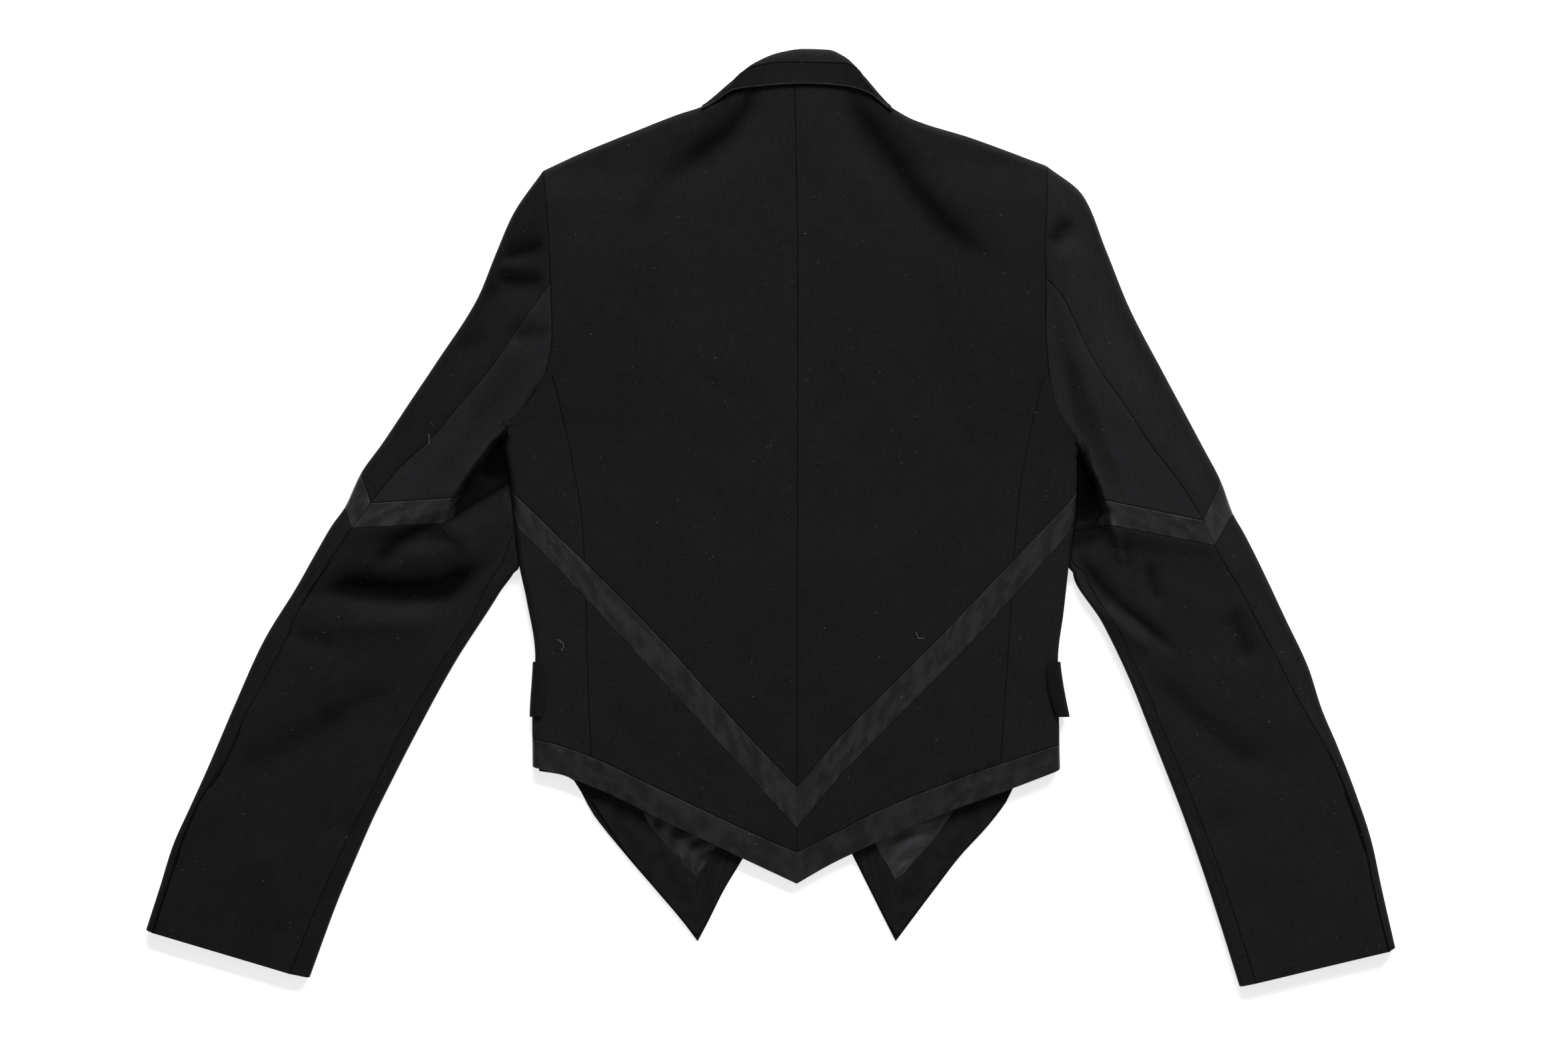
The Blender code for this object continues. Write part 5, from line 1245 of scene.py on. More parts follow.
@dataclass
class Patch:
    """A cut piece's outer face.

    Attributes:
        places: Rows by columns by 3, in millimetres.
        outside: 1 where the cross product of a row and a column points out, or -1.
        borders: How its four borders are finished.
        cloth: The cloth's own coordinates, in millimetres along the grain and across.
    """

    places: Array
    outside: float
    borders: Borders = field(default_factory=Borders)
    cloth: Array | None = None

    def __post_init__(self) -> None:
        """Measures the cloth's own coordinates along the grid where none are given."""
        if self.cloth is None:
            self.cloth = np.stack([arc_lengths(self.places, 1), arc_lengths(self.places, 0)], -1)

    def normals(self) -> Array:
        """Unit normals that point out of the cloth."""
        across = np.gradient(self.places, axis=1)
        up = np.gradient(self.places, axis=0)
        normal = np.cross(across, up) * self.outside
        length = np.linalg.norm(normal, axis=-1, keepdims=True)
        return normal / np.maximum(length, 1e-9)

    def _border_views(self, grid: Array) -> Iterator[tuple[Edge, Array]]:
        """The grid turned so that each border in turn is its first row."""
        yield self.borders.first_row, grid
        yield self.borders.last_row, grid[::-1]
        yield self.borders.first_column, grid.swapaxes(0, 1)
        yield self.borders.last_column, grid[:, ::-1].swapaxes(0, 1)

    def shell(self, wall: float) -> tuple[Array, Array]:
        """Outer and inner grids, with rounded seams and edges.

        Args:
            wall: Thickness of the cloth.

        Returns:
            The two grids of places.
        """
        normals = self.normals()
        outer_drop = np.zeros(self.places.shape[:2])
        inner_drop = np.zeros(self.places.shape[:2])
        views = zip(*map(self._border_views, (self.places, outer_drop, inner_drop)))
        for (edge, source), (_, outer), (_, inner) in views:
            if edge is Edge.PLAIN:
                continue
            border = np.gradient(source[0], axis=0)
            border /= np.maximum(np.linalg.norm(border, axis=-1, keepdims=True), 1e-9)
            inward = source[2] - source[0]
            inward /= np.maximum(np.linalg.norm(inward, axis=-1, keepdims=True), 1e-9)
            square = np.maximum(np.linalg.norm(np.cross(border, inward), axis=-1), WALLS.least_square)
            away = arc_lengths(source, 0) * square
            if edge is Edge.SEWN:
                drop = WALLS.seam_depth * round_off(away / WALLS.seam_width)
                np.maximum(outer, drop, out=outer)
                np.maximum(inner, drop, out=inner)
            else:
                drop = WALLS.edge_round * wall / 2.0 * round_off(away / (wall / 2.0))
                np.maximum(outer, drop, out=outer)
                np.minimum(inner, -drop, out=inner)
        outer_grid = self.places - normals * outer_drop[..., None]
        inner_grid = self.places - normals * (wall + inner_drop)[..., None]
        return outer_grid, inner_grid

    def seam_shade(self) -> Array:
        """How little light reaches places beside the sewn seams, from 0 to 1."""
        shade = np.zeros(self.places.shape[:2])
        for (edge, source), (_, dark) in zip(self._border_views(self.places), self._border_views(shade)):
            if edge is Edge.SEWN:
                near = 1.0 - smooth_step(arc_lengths(source, 0) / WALLS.shade_width)
                np.maximum(dark, WALLS.seam_shade * near, out=dark)
        return shade

    def cut_size(self) -> tuple[float, float, float]:
        """Width, length and area of the flat cut, in metres. The length of a cut that
        tapers or curves strongly is taken nearer its middle line."""
        width = float(arc_lengths(self.places, 1)[:, -1].max())
        length = float(arc_lengths(self.places, 0)[-1].max())
        rising = self.places[1:, 1:] - self.places[:-1, :-1]
        falling = self.places[1:, :-1] - self.places[:-1, 1:]
        area = float(np.linalg.norm(np.cross(rising, falling), axis=-1).sum() / 2.0)
        width = max(width, LEAST_SIDE)
        length = max(min(length, area / (LEAST_FILL * width)), LEAST_SIDE)
        area = min(area, width * length)
        return width * MM, length * MM, area * MM * MM


def grid_quads(rows: int, columns: int) -> Array:
    """The four-sided faces of a grid, as places in its list of points."""
    index = np.arange(rows * columns).reshape(rows, columns)
    corners = [index[:-1, :-1], index[:-1, 1:], index[1:, 1:], index[1:, :-1]]
    return np.stack(corners, -1).reshape(-1, 4)


def put(name: str, data: Any) -> bpy.types.Object:
    """Puts a new object into the scene."""
    thing = bpy.data.objects.new(name, data)
    bpy.context.scene.collection.objects.link(thing)
    return thing


def add_piece(name: str, mesh: bpy.types.Mesh) -> bpy.types.Object:
    """Puts a piece of the jacket into the scene. It rides on the jacket's one body."""
    piece = put(name, mesh)
    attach(piece, "root")
    LOG.info("%s: %d faces", name, len(mesh.polygons))
    return piece


def keep_mesh(carrier: bpy.types.Object) -> bpy.types.Mesh:
    """The carrier's final form as a plain mesh. The carrier is taken away."""
    mesh = bpy.data.meshes.new_from_object(carrier.evaluated_get(bpy.context.evaluated_depsgraph_get()))
    bpy.data.objects.remove(carrier, do_unlink=True)
    return mesh


class Wardrobe:
    """Makes the jacket's pieces."""

    def __init__(self, materials: dict[Cloth, bpy.types.Material]) -> None:
        """Starts without pieces."""
        self.materials = materials
        self.patches: dict[str, Patch] = {}
        self.triangles = 0

    def add(
        self,
        node: str,
        patch: Patch,
        wall: float,
        cloth: Cloth,
        held: str = "laid",
        rests_on: Sequence[str] = ("front_left", "front_right"),
        shade: Array | None = None,
    ) -> None:
        """Adds the shell that stands for a node.

        Args:
            node: The node it replaces.
            patch: Its outer face.
            wall: Thickness of the cloth.
            cloth: Its cloth.
            held: How the sheet is held; not used.
            rests_on: What it lies on; not used.
            shade: Painted shade on each place, from 0 to 1, which darkens its base colour.
        """
        outer, inner = patch.shell(wall)
        rows, columns = outer.shape[:2]
        count = rows * columns
        index = np.arange(count).reshape(rows, columns)
        face = grid_quads(rows, columns)
        ring = np.concatenate([index[0, :-1], index[:-1, -1], index[-1, :0:-1], index[:0:-1, 0]])
        after = np.roll(ring, -1)
        rim = np.stack([after, ring, ring + count, after + count], -1)
        faces = np.concatenate([face, face[:, ::-1] + count, rim])
        if patch.outside < 0:
            faces = faces[:, ::-1]
        points = np.concatenate([outer.reshape(-1, 3), inner.reshape(-1, 3)]) * MM
        mesh = bpy.data.meshes.new(f"cloth_{node}")
        mesh.from_pydata(points, [], faces)
        mesh.shade_smooth()
        coordinates = np.concatenate([patch.cloth.reshape(-1, 2)] * 2)
        layer = mesh.uv_layers.new(name="grain")
        layer.data.foreach_set("uv", coordinates[faces.reshape(-1)].astype(np.float32).ravel())
        # Painted shade beside the sewn seams and wherever a shade is given; it darkens the base colour.
        depth = patch.seam_shade()
        if shade is not None:
            depth = np.maximum(depth, shade)
        depth = np.tile(depth.ravel(), 2)
        # Painted light and shade of the whole piece, which scales its base colour.
        nap = np.full(len(points), PIECE_PAINTED_LIGHT.get(node, 1.0))
        for name, values in (("hollow", depth), ("nap", nap)):
            attribute = mesh.attributes.new(name, "FLOAT", "POINT")
            attribute.data.foreach_set("value", values.astype(np.float32))
        mesh.materials.append(self.materials[cloth])
        # Satin faces deep in painted shade take the duller facing material: painted shade that takes away the
        # satin's gleam.
        if cloth is Cloth.SATIN and shade is not None:
            mesh.materials.append(self.materials[Cloth.FACING])
            dull = depth[faces].min(axis=1) > DULL_SHADE
            mesh.polygons.foreach_set("material_index", dull.astype(np.int32))
        piece = add_piece(mesh.name, mesh)
        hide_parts(node)
        cloth.slot
        width, length, area = patch.cut_size()
        list(rests_on)
        self.patches[node] = patch
        self.triangles += 2 * len(faces)


def body_patch(
    body: Body, columns: Sequence[Mark], rows: Sequence[Mark], s: Array, t: Array, borders: Borders
) -> Patch:
    """A panel of the back."""
    reach, y = settle(columns, rows, s, t)
    cloth = np.stack([reach, y], -1)
    return Patch(body.point(reach, y), body.side.towards, borders, cloth)


def add_back(wardrobe: Wardrobe, bodies: dict[Side, Body]) -> None:
    """Back and side panels, above and below the V, and the two satin bands."""
    for side, body in bodies.items():
        turned = [body.seam_reach, body.knee_reach, body.full_reach]
        plain = [at_centre, body.seam_reach]
        corner = SIDE_PANEL_TOP[side]
        upper = [
            V_TOP[side],
            level(corner),
            level(corner + PANEL_CORNER),
            level(ARMHOLE_BEND),
            over_x(body.shoulder_knee, side),
            over_x(body.shoulder_end, side),
        ]
        lower = [HEM_TOP[side], V_BOTTOM[side]]
        across = index_lines([Span(66, 175.0)])
        turned_across = index_lines([Span(12, 40.0), Span(14, 20.0)], tight_end=False)
        up = index_lines(
            [Span(66, 230.0), Span(2, 4.0), Span(18, 48.0), Span(48, 135.0), Span(12, 16.0)], tight_end=False
        )
        side_up = index_lines([Span(66, 130.0)])
        low_up = index_lines([Span(44, 70.0)])
        roll = Borders(last_column=Edge.PLAIN)
        top_roll = Borders(last_row=Edge.PLAIN)
        label = side.label
        wool = dict(wall=WALLS.body, cloth=Cloth.WOOL)
        patch = body_patch(body, plain, upper, across, up, top_roll)
        # Painted shade in the creases and under the collar's ends.
        wardrobe.add(f"back_upper_{label}", patch, held="folded", shade=body.shade(patch.places), **wool)
        panel = [body.panel_reach, body.knee_reach, body.full_reach]
        patch = body_patch(body, panel, [V_TOP[side], body.panel_top], turned_across, side_up, roll)
        wardrobe.add(f"side_upper_{label}", patch, held="folded", **wool)
        wardrobe.add(f"back_lower_{label}", body_patch(body, plain, lower, across, low_up, Borders()), **wool)
        patch = body_patch(body, turned, lower, turned_across, index_lines([Span(52, 135.0)]), roll)
        wardrobe.add(f"side_lower_{label}", patch, held="folded", **wool)
    band = dict(wall=WALLS.body, cloth=Cloth.SATIN, held="folded")
    wardrobe.add("back_v_band", band_patch(bodies, V_BOTTOM, V_TOP, Edge.SEWN), **band)
    patch = band_patch(bodies, HEM_BOTTOM, HEM_TOP, Edge.FREE)
    # Painted shade in the hem band's puckers.
    puckers = -creased(BODY_CREASES, patch.places[..., 0], patch.places[..., 1])
    shade = PUCKER_PAINTED_SHADE * smooth_step(puckers / PUCKER_DEEP)
    wardrobe.add("back_hem_band", patch, shade=shade, **band)


def band_patch(bodies: dict[Side, Body], bottom: dict[Side, Line], top: dict[Side, Line], low: Edge) -> Patch:
    """A satin band across the whole back, from one side fold to the other."""
    halves = []
    for side, body in bodies.items():
        s = index_lines([Span(84, 200.0), Span(14, 20.0)], tight_start=False, tight_end=False)
        t = index_lines([Span(9, 24.0)])
        reach, y = settle([at_centre, body.knee_reach, body.full_reach], [bottom[side], top[side]], s, t)
        places = body.point(reach, y)
        calm = smooth_step((body.flat_reach(y) - reach) / BAND_CALM)
        wave = BAND_WAVES.height(places[..., 0] * BAND_ACROSS, places[..., 1] * BAND_ALONG)
        places[..., 2] += wave * calm
        halves.append(places[:, ::-1] if side is Side.LEFT else places[:, 1:])
    borders = Borders(low, Edge.SEWN, Edge.PLAIN, Edge.PLAIN)
    return Patch(np.concatenate(halves, axis=1), 1.0, borders)


def hollow_shade(side: Side, places: Array) -> Array:
    """How little light reaches places of a sleeve, from 0 to 1."""
    x, y = places[..., 0], places[..., 1]
    depths = [hollow.dark * hollow.depth(x, y) for hollow in HOLLOWS[side]]
    depths.append(CREASE_PAINTED_SHADE * smooth_step(-creased(SLEEVE_CREASES, x, y) / CREASE_DEEP))
    return np.maximum.reduce(depths)


def add_sleeve(wardrobe: Wardrobe, sleeve: Sleeve) -> None:
    """The cut lengths of a sleeve, the band between them and the vent's underlap."""
    side, label = sleeve.side, sleeve.side.label
    lengths = {
        "upper": (0.0, sleeve.band_top, 100, Cloth.WOOL),
        "band": (sleeve.band_top, sleeve.band_bottom, 9, Cloth.SATIN),
        "lower": (sleeve.band_bottom, sleeve.cuff, 118, Cloth.WOOL),
    }
    under_spans = [Span(40, 100.0), Span(14, 25.0)]
    top_spans = [Span(5, 12.0), Span(10, 12.0), Span(26, 100.0), Span(10, 14.0), Span(24, 40.0)]
    cuts = (
        ("undersleeve", index_lines(under_spans), [1.0, 2.0, HIDDEN_SEAM], [1.0, 1.78, OPEN_SEAM]),
        ("topsleeve", index_lines(top_spans), [HIDDEN_SEAM, 3.4, 4, 5, 6, 7], [OPEN_SEAM, 3, 4, 5, 6, 7]),
    )
    for part, (start, end, steps, cloth) in lengths.items():
        along = lerp(start, end, index_lines([Span(steps, end - start)]))
        seam = sleeve.under_seam(along) if part == "lower" else np.full(len(along), HIDDEN_SEAM)
        showing = ((HIDDEN_SEAM - seam) / (HIDDEN_SEAM - OPEN_SEAM))[:, None]
        last = Edge.FREE if part == "lower" else Edge.SEWN
        for name, s, hidden, opened in cuts:
            marks = np.arange(len(hidden), dtype=float)
            around = lerp(np.interp(s, marks, hidden), np.interp(s, marks, opened), showing)
            place = np.repeat(along[:, None], around.shape[1], axis=1)
            patch = Patch(sleeve.point(around, place), side.towards, Borders(last_row=last))
            # Painted shade in the hollows and creases, none on the sleeve's underside.
            shade = hollow_shade(side, patch.places) * ((around < 4) | (around > 6))
            # Painted shade on the strip beside the open vent's seam.
            if name == "topsleeve" and part == "lower":
                open_vent = smooth_step((place - sleeve.knots[-1 - VENT_ROWS] + VENT_FADE / 2.0) / VENT_FADE)
                beside = smooth_step((around - VENT_SHADE_START) / VENT_SHADE_WIDTH)
                shade = np.maximum(shade, VENT_PAINTED_SHADE * open_vent * beside)
            held = "folded" if name == "topsleeve" else "laid"
            lies_on = ("floor",) if name == "topsleeve" else (f"cloth_topsleeve_{part}_{label}",)
            wardrobe.add(f"{name}_{part}_{label}", patch, WALLS.sleeve, cloth, held, lies_on, shade)
    rows = lerp(sleeve.knots[-1 - VENT_ROWS], sleeve.cuff - VENT_INSET, index_lines([Span(34, 130.0)]))
    columns = VENT_START + VENT_SHARE * index_lines([Span(8, 26.0)])
    around, along = np.meshgrid(columns, rows)
    outer = Patch(sleeve.point(around, along), side.towards)
    depth = SOLID.sleeve_wall + SOLID.vent_clearance
    inside = Patch(outer.places - outer.normals() * depth, side.towards, ALL_FREE)
    lies_on = (f"cloth_topsleeve_lower_{label}",)
    wardrobe.add(f"cuff_vent_{label}", inside, WALLS.sleeve, Cloth.WOOL, "laid", lies_on)


def front_lift(side: Side, body: Body, x: Array, y: Array) -> Array:
    """How far a front is lifted by the lapel, the pocket flap and the other front."""
    run = (body.edge(y) - x) * side.towards
    lapel = (SOLID.lapel_wall + SOLID.layer_gap) * smooth_step((run - LAPEL_RUN) / LAPEL_FADE)
    lapel = lapel * smooth_step((y - LAPEL_LIFT_START) / (LAPEL_LIFT_END - LAPEL_LIFT_START))
    by_run = smooth_step(1.0 + (FLAP_RUN + FLAP_MARGIN - run) / FLAP_RAMP)
    flap = FLAP_LIFT * by_run * flap_nearness(y)
    lift = np.maximum(lapel, flap)
    if side is Side.LEFT:
        over = smooth_step(1.0 + (x - CLOSURE_EDGE + CLOSURE_MARGIN) / CLOSURE_RAMP)
        closed = smooth_step((y - CLOSURE_BOTTOM) / CLOSURE_FADE)
        closed = closed * smooth_step((CLOSURE_TOP - y) / CLOSURE_FADE)
        lift = np.maximum(lift, (SOLID.body_wall + SOLID.layer_gap) * over * closed)
    return lift


def front_column(side: Side, body: Body, share: float) -> Mark:
    """A column of a front: a share of the way from its edge to its side."""

    def column(y: Array) -> Array:
        """The column's x at each y."""
        side_gap = lerp(SIDE_GAP, TURNED_GAP, body.turn(y) / SOLID.side_turn)
        return lerp(FRONT_EDGE[side](y), body.edge(y) - side.towards * side_gap, share)

    return column


def flat_patch(x: Array, y: Array, outside: float) -> Patch:
    """A hidden plain piece that lies flat on the ground, as high as the lapel's wall."""
    return Patch(np.stack([x, y, np.full(x.shape, SOLID.lapel_wall)], -1), outside, ALL_FREE)


def add_fronts(wardrobe: Wardrobe, bodies: dict[Side, Body]) -> None:
    """The fronts on the ground, with the facing and lining that show at their points."""
    for side, body in bodies.items():
        label = side.label
        columns = [front_column(side, body, 0.0), front_column(side, body, 1.0)]
        rows = [FRONT_HEM[side], level(POINT_TOP), lambda x: SHOULDER_LINE(x) - SHOULDER_GAP]
        s, t = index_lines([Span(30, 180.0)]), index_lines([Span(40, 100.0), Span(40, 440.0)])
        x, y = settle(columns, rows, s, t)
        top = front_lift(side, body, x, y) + SOLID.body_wall
        patch = Patch(np.stack([x, y, top], -1), side.towards, ALL_FREE)
        wardrobe.add(f"front_{label}", patch, SOLID.body_wall, Cloth.WOOL, "laid", ("floor",))
        pairs = np.array(POINT_FACING[side])
        knots = np.arange(len(pairs), dtype=float)
        t = index_lines([Span(70, 220.0)]) * (len(pairs) - 1)
        s = index_lines([Span(12, 26.0)])
        outside_edge, inside_edge = (read_places(t, knots, pairs[:, part])[:, None] for part in (0, 1))
        strip = lerp(outside_edge, inside_edge, s[None, :, None])
        height = SOLID.body_wall + SOLID.layer_gap + WALLS.facing
        wave = BAND_WAVES.height(strip[..., 0] * FACING_STRETCH, strip[..., 1] * FACING_STRETCH) * FACING_WAVE
        places = np.concatenate([strip, (height + np.maximum(wave, LOWEST_WAVE))[..., None]], -1)
        patch = Patch(places, side.towards, Borders(Edge.FREE, Edge.FREE, Edge.FREE, Edge.SEWN))
        lies_on = (f"cloth_front_{label}",)
        wardrobe.add(f"front_facing_{label}", patch, WALLS.facing, Cloth.FACING, "laid", lies_on)
        add_point_lining(wardrobe, side, pairs[:, 1], height - WALLS.facing + WALLS.lining)
        y_lapel = index_lines([Span(80, LAPEL_LENGTH)]) * LAPEL_LENGTH + LAPEL_LOW
        s = index_lines([Span(24, 80.0)])
        x_lapel = lerp(LAPEL_OUTER[side](y_lapel)[:, None], LAPEL_ROLL[side](y_lapel)[:, None], s)
        grid_y = np.repeat(y_lapel[:, None], len(s), axis=1)
        patch = flat_patch(x_lapel, grid_y, -side.towards)
        wardrobe.add(f"lapel_{label}", patch, SOLID.lapel_wall, Cloth.SATIN, "folded", ("floor",))
        top_line = FRONT_COLLAR_TOP[side]
        x_line = lerp(top_line.at[0], top_line.at[-1], index_lines([Span(24, 65.0)]))
        t = index_lines([Span(12, 25.0)])
        grid_x, share = np.meshgrid(x_line, t)
        grid_y = lerp(FRONT_COLLAR_LOW, top_line(grid_x), share)
        patch = flat_patch(grid_x, grid_y, 1.0)
        wardrobe.add(f"front_collar_{label}", patch, SOLID.lapel_wall, Cloth.WOOL, "folded", ("floor",))


def add_point_lining(wardrobe: Wardrobe, side: Side, ring: Array, height: float) -> None:
    """The lining inside a front point. It runs on a little under the facing."""
    peak = int(np.argmin(ring[:, 1]))
    centre = ring.mean(axis=0)
    away = ring - centre
    ring = ring + away / np.linalg.norm(away, axis=-1, keepdims=True) * LINING_TUCK
    sides = (ring[: peak + 1], ring[: peak - len(ring) - 1 : -1])
    t, s = index_lines([Span(40, 75.0)]), index_lines([Span(30, 60.0)])
    ends = []
    for line in sides:
        far = arc_lengths(line, 0)
        ends.append(read_places(t * far[-1] * PEAK_SHARE, far, line))
    fill = lerp(ends[0][:, None], ends[1][:, None], s[None, :, None])
    from_peak = fill - ring[peak]
    toward = np.arctan2(from_peak[..., 1], from_peak[..., 0])
    far = np.hypot(from_peak[..., 1], from_peak[..., 0])
    wrinkle = TUCK_RISE * np.sin(toward * TUCK_COUNT + far * TUCK_TWIST)
    wrinkle = wrinkle + BAND_WAVES.height(fill[..., 0], fill[..., 1]) * LINING_WAVE
    wide = np.linalg.norm(ends[0] - ends[1], axis=-1)[:, None] * (0.5 - np.abs(s - 0.5))
    showing = smooth_step((wide - LINING_TUCK - 0.5) / 5.0)
    z = height + np.maximum(wrinkle + TUCK_RISE, 0.0) * showing
    # Painted shade in the troughs of the lining's wrinkles.
    shade = LINING_PAINTED_SHADE[side] * smooth_step((TUCK_PALE - wrinkle) / TUCK_FADE)
    patch = Patch(np.concatenate([fill, z[..., None]], -1), side.towards, ALL_PLAIN)
    lies_on = (f"cloth_front_{side.label}",)
    wardrobe.add(f"front_lining_{side.label}", patch, WALLS.lining, Cloth.LINING, "laid", lies_on, shade)


def add_collar(wardrobe: Wardrobe, collar: Collar) -> None:
    """The collar's fall over the back, and its stand."""
    x_line = lerp(COLLAR_LEFT, COLLAR_RIGHT, index_lines([Span(90, 150.0)]))
    t = index_lines([Span(10, 18.0), Span(10, 8.0)])
    x, share = np.meshgrid(x_line, t)
    knee = np.clip(collar.fall_flat(x), COLLAR_EDGE(x) + 2.0, collar.fall_end(x) - 1.6)
    y = between([COLLAR_EDGE(x), knee, collar.fall_end(x)], share)
    borders = Borders(Edge.FREE, Edge.SEWN, Edge.FREE, Edge.FREE)
    patch = Patch(collar.fall_point(x, y), 1.0, borders)
    lies_on = ("cloth_back_upper_left", "cloth_back_upper_right")
    wardrobe.add("collar_fall", patch, WALLS.collar, Cloth.WOOL, "folded", lies_on)
    x_line = lerp(STAND_LEFT, STAND_RIGHT, index_lines([Span(46, 78.0)]))
    along = index_lines([Span(6, 9.0), Span(12, 14.0), Span(8, 10.0)])
    x, along = np.meshgrid(x_line, along)
    patch = Patch(collar.stand_point(x, along), 1.0)
    wardrobe.add("collar_stand", patch, WALLS.stand, Cloth.WOOL, "folded", lies_on)


def add_flaps(wardrobe: Wardrobe, bodies: dict[Side, Body]) -> None:
    """Pocket flaps, sewn to the fronts and turned round the side folds."""
    for side, body in bodies.items():
        towards = side.towards
        y = lerp(FLAP_BOTTOM, FLAP_TOP, index_lines([Span(22, 43.0)]))
        share = (FLAP_TOP - y) / (FLAP_TOP - FLAP_BOTTOM)
        flare = FLAP_FLARE[side] * share**FLARE_POWER
        turn = np.linspace(0.0, math.pi, 25)
        top = body.height(body.edge(y) - towards * SOLID.side_roll, y)
        low = body.ground_lift(y)
        away = SOLID.flap_wall + SOLID.flap_clearance
        radius = SOLID.side_roll + away
        middle, half = (top + low) / 2.0, (top - low) / 2.0 + away
        edge, fold = body.edge(y)[:, None], flare[:, None] - SOLID.side_roll
        roll_x = edge + towards * (fold + radius * np.sin(turn))
        roll_z = middle[:, None] + half[:, None] * np.cos(turn)
        reach = FLAP_REACH(y)[:, None] * (1.0 - index_lines([Span(4, 5.0)], tight_end=False)[:-1])
        first_x = edge + towards * (fold - reach)
        first_z = np.repeat((top + away)[:, None], first_x.shape[1], axis=1)
        run_x = edge - towards * np.linspace(FLAP_TUCK, FLAP_RUN, FLAP_STEPS)
        run_z = np.repeat(roll_z[:, -1:], FLAP_STEPS, axis=1)
        xs = np.concatenate([first_x, roll_x, run_x], axis=1)
        zs = np.concatenate([first_z, roll_z, run_z], axis=1)
        ys = np.repeat(y[:, None], xs.shape[1], axis=1)
        places = np.stack([xs, ys, np.maximum(zs, 0.0)], -1)
        borders = Borders(Edge.FREE, Edge.FREE, Edge.FREE, Edge.PLAIN)
        lies_on = (f"cloth_side_lower_{side.label}", f"cloth_front_{side.label}")
        patch = Patch(places, towards, borders)
        wardrobe.add(f"pocket_flap_{side.label}", patch, WALLS.flap, Cloth.WOOL, "folded", lies_on)


Socket = Any


class Graph:
    """Adds nodes to a tree and joins them."""

    def __init__(self, tree: bpy.types.NodeTree) -> None:
        """Keeps the tree that the nodes go into."""
        self.tree = tree

    def node(self, kind: str, inputs: dict[str | int, Any] | None = None, **settings: Any) -> bpy.types.Node:
        """Adds a node.

        Args:
            kind: Its type.
            inputs: Values or sockets for its inputs, by name or place.
            settings: Its own properties.

        Returns:
            The node.
        """
        node = self.tree.nodes.new(kind)
        for name, value in settings.items():
            setattr(node, name, value)
        self.fill(node, inputs or {})
        return node

    def fill(self, node: bpy.types.Node, inputs: dict[str | int, Any]) -> None:
        """Joins or sets several inputs of a node."""
        for key, value in inputs.items():
            self.feed(node.inputs[key], value)

    def feed(self, socket: Socket, value: Any) -> None:
        """Joins a socket to another, or gives it a value."""
        if isinstance(value, bpy.types.NodeSocket):
            self.tree.links.new(value, socket)
        else:
            socket.default_value = value

    def math(self, operation: str, *values: Any) -> Socket:
        """One step of arithmetic."""
        node = self.node("ShaderNodeMath", dict(enumerate(values)), operation=operation)
        return node.outputs[0]

    def noise(self, vector: Socket, scale: float, detail: float, roughness: float = 0.55) -> Socket:
        """Smooth noise from 0 to 1."""
        inputs = {"Vector": vector, "Scale": scale, "Detail": detail, "Roughness": roughness}
        return self.node("ShaderNodeTexNoise", inputs).outputs["Fac"]

    def span(self, value: Socket, low: float, high: float, first: float = 0.0, last: float = 1.0) -> Socket:
        """Maps a span of values to another, eased and held at its ends."""
        inputs = {"Value": value, "From Min": low, "From Max": high, "To Min": first, "To Max": last}
        return self.node("ShaderNodeMapRange", inputs, interpolation_type="SMOOTHSTEP").outputs["Result"]

    def mix(self, factor: Any, first: Any, second: Any) -> Socket:
        """Blend of two colours."""
        node = self.node("ShaderNodeMix", data_type="RGBA")
        self.feed(node.inputs["Factor"], factor)
        colours = [socket for socket in node.inputs if socket.type == "RGBA"]
        self.feed(colours[0], first)
        self.feed(colours[1], second)
        return next(socket for socket in node.outputs if socket.type == "RGBA")

    def scaled(self, vector: Socket, x: float, y: float, z: float = 1.0) -> Socket:
        """A vector with its three parts scaled."""
        return self.node("ShaderNodeVectorMath", {0: vector, 1: (x, y, z)}, operation="MULTIPLY").outputs[0]


def node_tree(
    name: str, kind: str, inputs: dict[str, str], outputs: dict[str, str]
) -> tuple[Graph, Any, Any]:
    """A new tree of nodes with named inputs and outputs.

    Args:
        name: Its name.
        kind: Its type.
        inputs: Socket type of each input.
        outputs: Socket type of each output.

    Returns:
        Its graph, and its input and output nodes.
    """
    tree = bpy.data.node_groups.new(name, kind)
    for way, sockets in (("INPUT", inputs), ("OUTPUT", outputs)):
        for label, socket in sockets.items():
            tree.interface.new_socket(name=label, in_out=way, socket_type=f"NodeSocket{socket}")
    graph = Graph(tree)
    return graph, graph.node("NodeGroupInput"), graph.node("NodeGroupOutput")


def shader_group(name: str, inputs: dict[str, str], outputs: Sequence[str]) -> tuple[Graph, Any, Any]:
    """A new group of shader nodes whose outputs are plain values."""
    return node_tree(name, "ShaderNodeTree", inputs, dict.fromkeys(outputs, "Float"))


